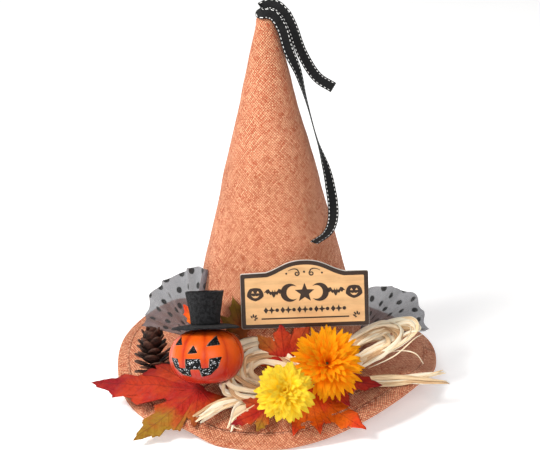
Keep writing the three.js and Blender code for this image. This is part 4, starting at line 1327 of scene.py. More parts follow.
FACE = {
    "pumpkin_left_eye": eye(-15.5, 14, 4.2, 3.6),
    "pumpkin_right_eye": eye(14, 14, 5.2, 4.2),
    "pumpkin_nose": eye(-1.5, 7.8, 4.6, 3.6),
    "pumpkin_mouth": [
        (-23, 1), (-19.5, -7), (-12, -13), (-4.3, -14.6), (-4, -8.3), (3.5, -8.3), (4, -14.6),
        (11.5, -13), (18, -7), (21, 1.5), (12, 0.5), (11, -7), (5.6, -7.3), (5, 0.5), (-8, 0.5),
        (-8.6, -7.3), (-14, -7), (-15, 0.5),
    ],
}


def rounded(outline, cut=0.9):
    """An outline with its corners rounded off."""
    points = np.asarray(outline, float)
    rows = []
    for i, here in enumerate(points):
        before, after = points[i - 1], points[(i + 1) % len(points)]
        a = here + unit(before - here) * min(cut, 0.35 * np.linalg.norm(before - here))
        b = here + unit(after - here) * min(cut, 0.35 * np.linalg.norm(after - here))
        t = np.linspace(0, 1, 5)[:, None]
        rows.append(a * (1 - t) ** 2 + 2 * here * t * (1 - t) + b * t**2)
    return np.vstack(rows)


def inset(outline, margin):
    """A closed outline moved inwards from its sides."""
    points = np.asarray(outline, float)
    before, after = unit(points - np.roll(points, 1, 0)), unit(np.roll(points, -1, 0) - points)
    area = np.sum(points[:, 0] * np.roll(points[:, 1], -1) - points[:, 1] * np.roll(points[:, 0], -1))
    inwards = unit(joined(-before[:, 1] - after[:, 1], before[:, 0] + after[:, 0])) * np.sign(area)
    lean = np.maximum(0.4, np.sign(area) * (-before[:, 1] * inwards[:, 0] + before[:, 0] * inwards[:, 1]))
    return points + inwards * (margin / lean)[:, None]


def cutter(outlines, margin):
    """Prisms in front of the pumpkin's face that cut straight back into it."""
    shape = Shape()
    turn = Matrix.Rotation(math.radians(PUMPKIN_TURN), 4, "Z") @ Matrix.Rotation(math.radians(90), 4, "X")
    for outline in outlines:
        shape.slab(rounded(inset(outline, margin)), 3.0, PUMPKIN_WIDTH)
    return shape.carry(turn)


def loose(name, shape, material):
    """A helper solid in millimetres that isn't a piece."""
    mesh = bpy.data.meshes.new(name)
    mesh.from_pydata(np.vstack(shape.points).tolist(), [], shape.faces)
    mesh.materials.append(material)
    return linked(name, mesh)


def combined(base, others):
    """A helper solid after booleans with others, each given as (solid, operation)."""
    for other, operation in others:
        step = base.modifiers.new(operation, "BOOLEAN")
        step.object, step.operation, step.solver = other, operation, "MANIFOLD"
        step.material_mode = "TRANSFER"
    bpy.context.view_layer.update()
    mesh = bpy.data.meshes.new_from_object(base.evaluated_get(bpy.context.evaluated_depsgraph_get()))
    base.modifiers.clear()
    return mesh


def discard(*helpers):
    for helper in helpers:
        mesh = helper.data
        bpy.data.objects.remove(helper)
        bpy.data.meshes.remove(mesh)


def closed_ball(depth, sides=180, rings=90):
    rows = gourd(depth, sides, rings)
    shape = Shape().grid(rows, around=True)
    n, m = rows.shape[:2]
    bottom, top = rows[0, :, 2].mean() - 0.05, rows[-1, :, 2].mean() + 0.05
    shape.add([(0, 0, bottom), (0, 0, top)], [])
    shape.faces += [(n * m, (j + 1) % m, j) for j in range(m)]
    shape.faces += [(n * m + 1, (n - 1) * m + j, (n - 1) * m + (j + 1) % m) for j in range(m)]
    return shape


def place_mesh(name, mesh, stands_for, marks=None, smooth=True):
    """Makes a piece of a mesh in the pumpkin's own millimetres."""
    mesh.transform(Matrix.Translation(Vector(AXIS)) @ Matrix.Scale(MM, 4) @ PUMPKIN_FRAME)
    mesh.name = name
    for key, values in (marks or {}).items():
        mesh.attributes.new(key, "FLOAT", "POINT").data.foreach_set("value", np.asarray(values, np.float32))
    piece = linked(name, mesh)
    mesh.polygons.foreach_set("use_smooth", [smooth] * len(mesh.polygons))
    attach(piece, "hat")
    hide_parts(*stands_for)
    return piece


def build_pumpkin():
    skin, edge, black = rind(), rind_edge(), glitter()
    ball = loose("ball", closed_ball(0), skin)
    floor = loose("floor", closed_ball(POCKET, 120, 60), edge)
    cuts = loose("cuts", cutter(FACE.values(), 0.0), edge)
    pockets = loose("pockets", Shape().add(np.zeros((0, 3)), []), edge)
    pockets.data = combined(cuts, [(floor, "DIFFERENCE")])
    mesh = combined(ball, [(pockets, "DIFFERENCE")])
    co = np.zeros(len(mesh.vertices) * 3)
    mesh.vertices.foreach_get("co", co)
    co = co.reshape(-1, 3)
    lon = np.arctan2(co[:, 1], co[:, 0])
    flat = np.clip(np.hypot(co[:, 0], co[:, 1]) / (PUMPKIN_WIDTH / 2), 0, 1)
    # The crest mark, low in the grooves and near the top and bottom, carries the paint's painted shade.
    crest = 0.4 + 0.6 * np.abs(np.cos(RIBS * lon / 2)) ** 0.8 * flat**0.5
    body = place_mesh(
        "pumpkin_shell", mesh, ["pumpkin_body"],
        {"crest": crest, "height": co[:, 2] / (PUMPKIN_HEIGHT / 2)},
    )
    body.data.set_sharp_from_angle(angle=math.radians(35))
    top = loose("top", closed_ball(0.8, 120, 60), black)
    base = loose("base", closed_ball(POCKET - 0.1, 120, 60), black)
    for name, outline in FACE.items():
        plug = loose("plug", cutter([outline], 0.35), black)
        mesh = combined(plug, [(top, "INTERSECT"), (base, "DIFFERENCE")])
        sparkle = np.full(len(mesh.vertices), 1.0 if name == "pumpkin_mouth" else 0.12)
        place_mesh(name + "_glitter", mesh, [name], {"sparkle": sparkle}, smooth=False)
        discard(plug)
    discard(ball, floor, cuts, pockets, top, base)


def lathe(profile, sides=96, warp=None):
    """A turned solid from a closed profile of [radius, height] pairs about +Z."""
    turn = circle(sides)
    profile = np.asarray(profile, float)
    rows = joined(profile[:, :1] * np.cos(turn), profile[:, :1] * np.sin(turn), profile[:, 1:])
    flat = rows.reshape(-1, 3)
    return Shape().add(warp(flat) if warp else flat, ring_faces(len(profile), sides), flat[:, [0, 2]])


def build_top_hat():
    felt = felted()
    seat, wide = PUMPKIN_HEIGHT / 2 + 0.5, 27.5

    def droop(p):
        r = np.hypot(p[:, 0], p[:, 1]) / wide
        out = np.array(p)
        out[:, 2] += -1.3 * r**2 - 1.2 * (p[:, 0] / wide) ** 2 * r + 0.35 * ripple(p, 16, 11) * r**2
        out[:, :2] *= (1 + 0.012 * ripple(p, 9, 12) * r)[:, None]
        return out

    rim = [(0.4, seat + FELT)] + [(wide * s, seat + FELT) for s in np.linspace(0.1, 0.97, 16)]
    rim += [(wide, seat + FELT - 0.35), (wide, seat + 0.35)]
    rim += [(wide * s, seat) for s in np.linspace(0.97, 0.1, 16)] + [(0.4, seat)]
    brim = lathe(rim[::-1], 96, droop).carry(PUMPKIN_FRAME)
    make("top_hat_brim_felt", brim, felt, stands_for=("pumpkin_hat_brim",))
    foot = seat + FELT + GAP
    top = foot + 26.0
    narrow, broad = 0.42 * wide, 0.57 * wide
    heights = np.linspace(0, 1, 15)

    def dented(p):
        out = np.array(p)
        out[:, :2] += unit(p[:, :2]) * (0.22 * ripple(p, 12, 21))[:, None]
        out[:, 2] += 0.35 * ripple(p * (1, 1, 0.1), 14, 22) * np.clip((p[:, 2] - foot) / 26, 0, 1)
        return out

    outer = [(narrow + 0.5 * (1 - h) ** 6 + (broad - narrow) * h**1.15, foot + 26 * h) for h in heights]
    lip = [(broad - 0.25, top + 0.35), (broad - FELT + 0.25, top + 0.35)]
    inner = [(r - FELT, z) for r, z in reversed(outer)]
    crown = lathe([*outer, *lip, *inner], 96, dented).carry(PUMPKIN_FRAME)
    make("top_hat_crown_felt", crown, felt, stands_for=("pumpkin_hat_crown",))
    lid = broad - FELT - 0.9
    plate = [(0.3, top - 2.0)] + [(lid * s, top - 2.0 + 0.5 * (1 - s)) for s in np.linspace(0.15, 0.97, 8)]
    plate += [(lid, top - 2.4), (lid - 0.3, top - 3.4), (0.3, top - 3.4)]
    cover = lathe(plate[::-1], 72).carry(PUMPKIN_FRAME)
    make("top_hat_lid_felt", cover, felt, stands_for=("pumpkin_hat_top",))


def off_gourd(points, margin=0.8):
    """Points kept outside the pumpkin."""
    back = PUMPKIN_FRAME.inverted()
    p = moved(back, points)
    size = np.array([PUMPKIN_WIDTH / 2 + margin, PUMPKIN_WIDTH / 2 + margin, PUMPKIN_HEIGHT / 2 + margin])
    reach = np.linalg.norm(p / size, axis=1)
    push = np.where(reach < 1, 1 / np.maximum(reach, 0.25), 1)
    return moved(PUMPKIN_FRAME, p * push[:, None])


# ---- Pine cone ----
def build_pine_cone(scales):
    tall, wide = 42.0, 36.0
    stand = Matrix.Translation(Vector(beside(-160, 37, 10))) @ Matrix.Rotation(math.radians(-20), 4, "X")
    draw = np.random.RandomState(41)
    shape = Shape()
    section = np.radians(np.linspace(0, 360, 10, endpoint=False))
    for i in range(scales):
        t = (i + 0.5) / scales
        angle = i * math.radians(137.508) + draw.uniform(-0.12, 0.12)
        girth = wide / 2 * math.sin(math.pi * (0.3 + 0.6 * t)) ** 0.7
        lift = math.radians(-26 + 96 * t**0.7 + draw.uniform(-7, 7))
        core = 3.2 * (1 - 0.6 * t)
        length = min(
            15.0, max(4.5, (girth - core) / max(0.6, math.cos(min(lift, 1.0))))
        ) * draw.uniform(0.9, 1.04)
        half = 7.0 * draw.uniform(0.88, 1.1) * (1 - 0.38 * t)
        base = np.array([core * math.cos(angle), core * math.sin(angle), -tall / 2 + 2 + (tall - 15) * t])
        out = np.array([math.cos(angle), math.sin(angle), 0.0])
        side = np.array([-math.sin(angle), math.cos(angle), 0.0])
        rows, along = [], []
        for s in np.linspace(0, 1, 8):
            pitch = lift + math.radians(38) * (s - 0.35)
            centre = base + out * (
                length * s * math.cos(lift)
            ) + np.array([0, 0, 1.0]) * length * s * math.sin(lift)
            centre = centre + np.array([0, 0, 1.0]) * 2.6 * s * s
            up = -out * math.sin(pitch) + np.array([0, 0, 1.0]) * math.cos(pitch)
            width = half * (
                0.45 + 0.62 * math.sin(math.pi * min(1, 0.62 * s + 0.12)) ** 1.2
            ) * (1 - 0.62 * max(0, s - 0.8) / 0.2)
            thick = 0.42 + 0.85 * math.exp(-(((s - 0.9) / 0.14) ** 2))
            ring = centre + np.cos(section)[:, None] * side * width + np.sin(section)[:, None] * up * thick
            ring = ring + up * (0.16 * (np.cos(section) * width) ** 2 / half)[:, None]
            rows.append(ring)
            along.append(np.full(len(section), s))
        shape.tube(rows, along=np.array(along))
    shape.change(lambda p: off_gourd(off_hat(moved(stand, p)), 0.4))
    make("pine_cone_scales", shape, coned(), stands_for=("pine_cone",), levels=1)
    core = Shape()
    stops = [(0, 0, -tall / 2 + 1), (0, 0, -tall / 4), (0, 0, 0), (0, 0, tall / 4), (0, 0, tall / 2 - 7)]
    path = smooth_curve(stops, 5)
    share = np.linspace(0, 1, len(path))
    rod(core, path, 3.8 * (1 - 0.65 * share) + 0.3 * np.sin(40 * share), 14, along=0.2)
    core.carry(stand)
    make("pine_cone_core", core, coned())


# ---- Mums ----
def petal(shape, frame, angle, root, length, width, rise, fall, tone, draw):
    """One cupped petal whose slope goes from rise to fall, in degrees, on the way out."""
    steps, cols = 9, 7
    s = np.linspace(0, 1, steps)
    slope = np.radians(rise + (fall - rise) * s**1.3)
    step = length / (steps - 1)
    out = root + np.concatenate([[0], np.cumsum(step * np.cos(slope[:-1]))])
    high = np.concatenate([[0], np.cumsum(step * np.sin(slope[:-1]))])
    across = np.linspace(-1, 1, cols)
    half = width / 2 * (0.34 + 0.75 * np.sin(np.pi * (0.1 + 0.62 * s)) ** 1.4)
    half[-1] *= 0.3
    half[-2] *= 0.74
    twist = draw.uniform(-0.35, 0.35) * s
    x = half[:, None] * across[None]
    cup = 0.16 * width * draw.uniform(0.6, 1.3)
    lift = cup * (across[None] ** 2 - 0.3) * np.sin(np.pi * (0.15 + 0.7 * s))[:, None]
    normal = joined(-np.sin(slope), np.cos(slope))
    jag = np.array([-0.5, 0.5, -0.25, 1.0, -0.35, 0.4, -0.6])
    long = np.zeros((steps, cols))
    long[-1] = jag * 0.075 * length
    along_way = joined(np.cos(slope), np.sin(slope))
    r = out[:, None] + normal[:, :1] * (lift + x * np.sin(twist)[:, None]) + along_way[:, :1] * long
    z = high[:, None] + normal[:, 1:] * (lift + x * np.sin(twist)[:, None]) + along_way[:, 1:] * long
    side = x * np.cos(twist)[:, None] + draw.uniform(-0.08, 0.08) * length * (s**2)[:, None]
    c, sn = math.cos(angle), math.sin(angle)
    rows = joined(r * c - side * sn, r * sn + side * c, z)
    uv = joined(across[None] * 2.2, s[:, None] * length)
    shape.grid(
        moved(frame, rows.reshape(-1, 3)).reshape(rows.shape), uv,
        along=np.broadcast_to(s[:, None], rows.shape[:2]), tone=tone,
    )


def build_mum(prefix, frame, cloth, whorls, seed):
    """One flower head. Each whorl is [layer, petals, length, width, rise, fall, height, root]."""
    draw = np.random.RandomState(seed)
    layers = {"outer": Shape(), "middle": Shape(), "inner": Shape()}
    for turn, (layer, count, length, width, rise, fall, height, root) in enumerate(whorls):
        for i in range(count):
            angle = 2 * math.pi * (i + 0.5 * (turn % 2)) / count + draw.uniform(-0.16, 0.16)
            lift = frame @ Matrix.Translation(Vector((0, 0, height + draw.uniform(-0.5, 0.5))))
            petal(
                layers[layer], lift, angle, root, length * draw.uniform(0.88, 1.04),
                width * draw.uniform(0.8, 1.15),
                rise + draw.uniform(-13, 13), fall + draw.uniform(-20, 20), draw.uniform(0, 1), draw,
            )
    for layer, shape in layers.items():
        shape.change(lambda p: off_hat(p, 0.8, 0.8))
        make(
            f"{prefix}_{layer}_whorl", shape, cloth, stands_for=(f"{prefix}_{layer}_petals",),
            thick=0.32, levels=1,
        )


def build_yellow_mum():
    cloth = petalled("Yellow petals", (0.95, 0.48, 0.004), (1.0, 0.64, 0.012), (1.0, 0.72, 0.05))
    frame_at = facing(beside(-87.5, 54, 16), -3, 38)
    build_mum("yellow_mum", frame_at, cloth, (
        ("outer", 26, 23.5, 6.0, 4, -38, 0.4, 2.0),
        ("outer", 26, 23.5, 5.6, 20, -16, 1.4, 1.8),
        ("middle", 25, 22.5, 5.4, 34, 2, 2.0, 1.6),
        ("middle", 23, 20.5, 5.0, 47, 14, 2.4, 1.4),
        ("inner", 20, 18.5, 4.6, 58, 28, 2.8, 1.2),
        ("inner", 16, 15.5, 4.2, 68, 44, 3.0, 0.8),
        ("inner", 10, 13.0, 3.6, 80, 60, 3.0, 0.4),
    ), 7)


def build_orange_mum():
    cloth = petalled("Orange petals", (0.85, 0.1, 0.0), (1.0, 0.26, 0.0), (1.0, 0.4, 0.006))
    frame_at = facing(beside(-68.5, 38, 26), 8, 42)
    build_mum("orange_mum", frame_at, cloth, (
        ("outer", 30, 29.5, 5.4, 4, -24, 0.4, 2.0),
        ("outer", 30, 29.0, 5.0, 18, -4, 1.4, 2.0),
        ("middle", 29, 28.5, 4.8, 32, 12, 2.0, 1.8),
        ("middle", 26, 26.5, 4.4, 45, 26, 2.4, 1.6),
        ("inner", 22, 22.5, 4.0, 57, 40, 2.8, 1.4),
        ("inner", 15, 16.5, 3.4, 68, 56, 2.8, 1.2),
    ), 19)


# ---- Raffia ----
KNOT = beside(-75, 17, 9)
BOW_FRAME = facing(KNOT, 10, 50)


def strand(shape, path, width, roll, tone, draw, ends=(1.0, 1.0), curl=0.5):
    """One flat strand of raffia along points, rolled about its own line and tapered at its ends."""
    path = np.asarray(path, float)
    n = len(path)
    share = np.linspace(0, 1, n)
    ahead = unit(np.gradient(path, axis=0))
    face = np.array(BOW_FRAME.to_3x3() @ Vector((0, 0, 1)))
    side = unit(np.cross(ahead, face))
    up = np.cross(side, ahead)
    turn = roll + curl * np.sin(2 * math.pi * (share * draw.uniform(0.6, 1.4) + draw.uniform(0, 1)))
    across = side * np.cos(turn)[:, None] + up * np.sin(turn)[:, None]
    depth = np.cross(ahead, across)
    half = width / 2 * (1 + 0.16 * ripple(path, 15, draw.randint(1000)))
    taper = np.minimum(1, ends[0] + (1 - ends[0]) * share / 0.1) * np.minimum(
        1, ends[1] + (1 - ends[1]) * (1 - share) / 0.14
    )
    half = half * taper
    cols = np.array([-1, -0.5, 0, 0.5, 1])
    fold = 0.22 * np.array([1, -0.2, -0.75, 0.1, 0.9]) * draw.uniform(0.5, 1.6)
    thin = 0.11
    top = path[:, None] + across[:, None] * (
        half[:, None] * cols
    )[..., None] + depth[:, None] * (fold + thin)[None, :, None]
    low = path[:, None] + across[:, None] * (
        half[:, None] * cols
    )[..., None] + depth[:, None] * (fold - thin)[None, :, None]
    rows = np.concatenate([top, low[:, ::-1]], axis=1)
    reach = arc_length(path)
    u = np.concatenate([cols, cols[::-1]]) * width / 2
    uv = joined(u[None], reach[:, None])
    shape.tube(rows, uv, tone=tone)


def bow_path(stops, draw, loose_by, level, steps=9):
    """A route in the bow's own plane, shaken a little, at a level off that plane."""
    stops = np.array([(*s, level) if len(s) == 2 else (s[0], s[1], s[2] + level) for s in stops], float)
    fade = np.sin(np.pi * np.linspace(0.04, 0.96, len(stops)))[:, None]
    stops[:, :2] += draw.normal(size=(len(stops), 2)) * loose_by * fade
    stops[:, 2:] += draw.normal(size=(len(stops), 1)) * 0.6 * loose_by * fade
    return moved(BOW_FRAME, smooth_curve(stops, steps))


def build_raffia():
    dry = straw()
    draw = np.random.RandomState(77)
    left, right, left_ends, right_ends, tie = (Shape() for _ in range(5))
    for i in range(17):
        s = draw.uniform(0.62, 1.03)
        lean = draw.uniform(-0.12, 0.14)
        top = draw.uniform(0.55, 1.08)
        stops = np.array([
            (2, 0), (-8, 14 * top), (-20, 30 * top), (-36, 37 * top), (-54, 34 * top), (-67, 19), (-69, 3),
            (-59, -6), (-42, -9), (-24, -7), (-8, -3), (3, -1),
        ]) * (s, 0.62 + 0.38 * s)
        stops = stops @ np.array([[math.cos(lean), math.sin(lean)], [-math.sin(lean), math.cos(lean)]])
        path = bow_path(stops, draw, 1.5, draw.uniform(-0.5, 3.6))
        strand(left, path, draw.uniform(2.8, 6.2), draw.uniform(-0.5, 0.6), draw.uniform(0.15, 0.95), draw)
    for i in range(16):
        s = draw.uniform(0.72, 1.02)
        top = draw.uniform(-4, 6)
        bow = draw.uniform(-5, 4)
        stops = np.array([
            (-2, 0), (12, 3), (30, 14 + 0.5 * top), (54, 28 + top), (78, 37 + top), (93, 37 + 0.5 * top),
            (97, 30), (88, 23 + bow),
            (66, 14 + bow), (42, 5 + bow), (20, -1), (2, -1),
        ]) * (s, s)
        path = bow_path(stops, draw, 1.3, draw.uniform(-0.5, 3.6))
        strand(right, path, draw.uniform(2.4, 6.0), draw.uniform(-0.5, 0.6), draw.uniform(0.15, 0.95), draw)
    for i in range(13):
        short = i % 3 == 2
        end = (
            -70 + draw.uniform(-4, 3), -35 + draw.uniform(-3, 3)
        ) if short else (-96 + draw.uniform(-5, 6), -25 + draw.uniform(-5, 4))
        sag = draw.uniform(-3, 3)
        stops = [
            (3, 0, 0), (-14, -7 + 0.4 * sag, 0), (-36, -13 + sag, 0),
            (-0.45 * -end[0] - 28, 0.62 * end[1] + sag, 0), (*end, draw.uniform(-1, 2)),
        ]
        path = bow_path(stops, draw, 0.9, draw.uniform(-4.2, -0.6), 12)
        strand(
            left_ends, path, draw.uniform(2.8, 6.4), draw.uniform(-0.4, 0.4), draw.uniform(0.25, 1.0), draw,
            ends=(1.0, 0.25),
        )
    loose_end = smooth_curve(
        [(6, -98, 40), (-8, -112, 35), (-24, -122, 29), (-35, -129, 23.5), (-39, -134, 16)], 12
    )
    strand(left_ends, loose_end, 1.7, 0.2, 0.8, draw, ends=(1.0, 0.3))
    hook = smooth_curve(
        [
            (4, -100, 38), (-14, -116, 33), (-30, -125, 28), (-37, -129, 24), (-36, -131, 19),
            (-30, -132.5, 17),
        ],
        12,
    )
    strand(left_ends, hook, 1.3, 0.6, 0.6, draw, ends=(1.0, 0.3))
    for i in range(11):
        high = i % 2 == 0
        end = (115 + draw.uniform(-3, 3), (-10 if high else -20) + draw.uniform(-2, 2))
        sag = draw.uniform(-2.5, 2.5)
        stops = [
            (-3, 0, 0), (16, -6 + 0.4 * sag, 0), (44, -10 + sag, 0), (80, -13 + sag, 0),
            (*end, draw.uniform(-1, 2)),
        ]
        path = bow_path(stops, draw, 0.9, draw.uniform(-4.2, -0.6), 12)
        strand(
            right_ends, path, draw.uniform(2.4, 5.2), draw.uniform(-0.4, 0.4), draw.uniform(0.3, 1.0), draw,
            ends=(1.0, 0.2),
        )
    for stops in (
        [(70, 12, 0), (84, 12, 1), (94, 7, 2), (99, -2, 0)],
        [(52, 0, 0), (76, 9, 1), (96, 20, 2), (103, 24, 1)],
    ):
        strand(right_ends, bow_path(stops, draw, 0.8, 1.0, 12), 1.1, 0.5, 0.75, draw, ends=(0.6, 0.2))
    for i in range(7):
        turn = np.linspace(0, 2 * math.pi, 30)
        reach = 4.9 + 0.16 * i
        wrap = joined(
            -3.4 + 1.15 * i + 0.6 * np.sin(turn), reach * np.cos(turn), 1.2 + reach * np.sin(turn)
        )
        strand(
            tie, moved(BOW_FRAME, wrap), draw.uniform(2.0, 3.2), 0.1, draw.uniform(0.3, 0.9), draw,
            curl=0.15,
        )
    for name, shape, node_name in (
        ("raffia_left_bow", left, "raffia_left_loops"), ("raffia_right_bow", right, "raffia_right_loops"),
        ("raffia_left_ends", left_ends, "raffia_left_tails"),
        ("raffia_right_ends", right_ends, "raffia_right_tails"),
        ("raffia_knot", tie, "raffia_tie"),
    ):
        shape.change(lambda p: off_gourd(off_hat(p, 1.0, 0.7), 0.5))
        make(name, shape, dry, stands_for=(node_name,))


# ---- Leaves ----
LOBE = (
    (0.0, 0.22), (0.25, 0.52), (0.4, 0.66), (0.5, 1.16), (0.57, 0.7), (0.64, 0.6), (0.72, 0.82),
    (0.78, 0.42), (0.88, 0.24), (1.0, 0.0),
)


def lobe_outline(degrees, length, half, draw):
    right = np.array([(length * a, -half * s * draw.uniform(0.88, 1.12)) for a, s in LOBE])
    left = np.array(
        [
            (length * (a + (0.03 if 0 < a < 1 else 0)), half * s * draw.uniform(0.88, 1.12))
            for a, s in LOBE[:-1]
        ]
    )
    outline = np.vstack([right, left[::-1]])
    return spun(outline, degrees)


def rays(outline, angles):
    """How far out each ray from the origin last meets a closed outline."""
    a, b = outline, np.roll(outline, -1, 0)
    way = joined(np.cos(angles), np.sin(angles))
    edge = b - a
    den = way[:, None, 0] * edge[None, :, 1] - way[:, None, 1] * edge[None, :, 0]
    den = np.where(np.abs(den) < 1e-9, 1e-9, den)
    t = (a[None, :, 0] * edge[None, :, 1] - a[None, :, 1] * edge[None, :, 0]) / den
    u = (a[None, :, 0] * way[:, None, 1] - a[None, :, 1] * way[:, None, 0]) / den
    hit = (u >= -1e-6) & (u <= 1 + 1e-6) & (t > 0)
    return np.max(np.where(hit, t, 0), axis=1)


def leaf_blade(lobes, seed, arch=0.03, wave=1.3):
    """A maple leaf in its own plane. Each lobe is [direction, length, half width, how aged]."""
    draw = np.random.RandomState(seed)
    outlines = [lobe_outline(*lobe[:3], draw) for lobe in lobes]
    angles = [np.linspace(-math.pi, math.pi, 260, endpoint=False)]
    angles += [np.arctan2(o[:, 1], o[:, 0]) for o in outlines]
    angles = np.unique(np.round(np.concatenate(angles), 4))
    angles = angles[np.concatenate([[True], np.diff(angles) > 0.0008])]
    reach = np.full(len(angles), 3.6)
    for outline in outlines:
        reach = np.maximum(reach, rays(outline, angles))
    ordered = sorted(lobes)
    for lobe, after in zip(ordered, [*ordered[1:], (ordered[0][0] + 360, *ordered[0][1:])]):
        gap = after[0] - lobe[0]
        if gap < 100:  # a web of cloth joins neighbouring lobes
            at = (np.degrees(angles) - lobe[0]) % 360
            web = 0.34 * (lobe[1] + (after[1] - lobe[1]) * at / gap)
            reach = np.where(
                at <= gap, np.maximum(reach, np.minimum(web, 0.5 * min(lobe[1], after[1]))), reach
            )
    reach *= 1 + 0.012 * np.sin(61 * angles) + 0.01 * np.sin(97 * angles + 1)
    shares = np.linspace(0, 1, 17) ** 0.85
    shares[0] = 0.012
    x = shares[:, None] * (reach * np.cos(angles))[None]
    y = shares[:, None] * (reach * np.sin(angles))[None]
    best = np.full(x.shape, 1e9)
    along, aged, out = np.zeros(x.shape), np.zeros(x.shape), np.zeros(x.shape)
    weight = np.zeros(x.shape)
    for degrees, length, half, old in lobes:
        c, s = math.cos(math.radians(degrees)), math.sin(math.radians(degrees))
        run, off = x * c + y * s, -x * s + y * c
        off = np.where(run > 0, off, np.sign(off + 1e-9) * np.hypot(x, y))
        near = np.abs(off) < np.abs(best)
        best, along, out = np.where(near, off, best), np.where(
            near, run / length, along
        ), np.where(near, run, out)
        share = np.exp(-((off / half) ** 2))
        aged, weight = aged + share * old, weight + share
    flat = joined(x, y, np.zeros(x.shape)).reshape(-1, 3)
    z = -arch * np.minimum(np.abs(best), 12) ** 2 / 2 + 0.25 * np.exp(-((best / 0.9) ** 2))
    z += (
        wave * ripple(flat, 34, seed) + 0.35 * wave * ripple(flat, 12, seed + 1)
    ).reshape(x.shape) * np.clip(np.hypot(x, y) / 16, 0, 1)
    z += 0.3 * np.cos(2 * math.pi * (out - 0.9 * np.abs(best)) / 7.5) * np.clip(np.abs(best) / 3, 0, 1)
    rows = joined(x, y, z + 1.0)
    marks = {"along": along, "rib": best, "reach": out, "aged": aged / np.maximum(weight, 1e-6)}
    return rows, marks


def build_leaf(name, place, azimuth, elevation, lobes, cloth, slot, seed, stalk=None, **bend):
    frame_at = facing(place, azimuth, elevation)
    rows, marks = leaf_blade(lobes, seed, **bend)
    points = moved(frame_at, rows.reshape(-1, 3)).reshape(rows.shape)
    blade = Shape().grid(points, rows[..., :2], around=True, **marks)
    blade.faces.append(tuple(reversed(range(rows.shape[1]))))
    blade.change(lambda p: off_gourd(off_hat(p, 0.7, 0.6), 0.5))
    make(f"{name}_cloth", blade, cloth, stands_for=(f"{name}_blade",), thick=0.36)
    if not stalk:
        return
    degrees, length = stalk
    places = [
        (r * math.cos(math.radians(degrees)), r * math.sin(math.radians(degrees)), 0.2 - drop)
        for r, drop in ((-3, 0), (2, 1.2), (0.5 * length, 2.0), (length, 3.0))
    ]
    stem = Shape()
    path = moved(frame_at, smooth_curve(places, 8))
    rod(stem, path, 0.75 - 0.15 * np.linspace(0, 1, len(path)), 10)
    stem.change(lambda p: off_gourd(off_hat(p, 0.8, 0.6), 0.5))
    stalk_finish = green("Leaf stalk", (0.13, 0.02, 0.012), (0.32, 0.08, 0.03))
    make(f"{name}_stalk", stem, stalk_finish, stands_for=(f"{name}_stem",))


def build_leaves():
    crimson = leafed(
        "Crimson leaf", (0.36, 0.012, 0.008), (0.46, 0.035, 0.01), (0.26, 0.006, 0.012),
        (0.12, 0.005, 0.004), (0.32, 0.17, 0.015),
    )
    flame = leafed(
        "Flame leaf", (0.75, 0.06, 0.006), (0.92, 0.16, 0.006), (0.72, 0.035, 0.012), (0.5, 0.04, 0.008),
        (0.5, 0.2, 0.02),
    )
    umber = leafed(
        "Umber leaf", (0.24, 0.06, 0.012), (0.26, 0.09, 0.02), (0.2, 0.09, 0.02), (0.1, 0.035, 0.01),
        (0.22, 0.12, 0.015),
    )
    build_leaf("left_leaf", beside(-127, 29, -2), -22, 67, (
        (187, 98, 17, 0.0), (241, 72, 16, 1.0), (160, 52, 12, 0.1), (283, 40, 10, 0.3), (322, 36, 9, 0.2),
    ), crimson, "leaf_red", 3, (60, 24))
    build_leaf("front_leaf", beside(-76, 26.1, 2), 16.6, 52, (
        (190, 36, 8, 0.3), (237, 44, 9, 0.1), (268, 41, 8, 0.0), (307, 59, 13, 0.1), (350, 42, 9, 0.2),
    ), flame, "leaf_orange", 5, (100, 14))
    build_leaf("right_leaf", beside(-68.6, 29.1, 10), 6, 60, (
        (300, 34, 8, 0.0), (346, 48, 9, 0.0), (28, 30, 8, 0.2),
    ), crimson, "leaf_red", 8, (200, 14))
    build_leaf("sign_leaf", beside(-85.1, 9, 17), 0, 22, (
        (20, 34, 9, 0.1), (58, 40, 10, 0.2), (95, 35, 9, 0.0), (132, 34, 9, 0.5), (168, 26, 7, 0.2),
    ), crimson, "leaf_red", 11, (270, 14), wave=0.9)
    build_leaf("back_leaf", beside(-112.2, 2.6, 36), -14, 18, (
        (74, 26, 6, 0.6), (108, 34, 7, 0.9), (142, 26, 6, 0.6),
    ), umber, "leaf_brown", 15, wave=0.5, arch=0.01)
    build_leaf("hat_leaf", beside(-141.7, 9.9, 34), -35, 15, (
        (62, 26, 6, 0.0), (104, 32, 8, 0.0), (140, 28, 7, 0.1),
    ), flame, "leaf_orange", 17, wave=0.5, arch=0.01)
    build_leaf("small_leaf", beside(-94.3, 43.3, -2), 0, 50, (
        (160, 22, 6, 0.2), (204, 33, 7, 0.0), (245, 22, 6, 1.0),
    ), crimson, "leaf_red", 23, wave=0.8)


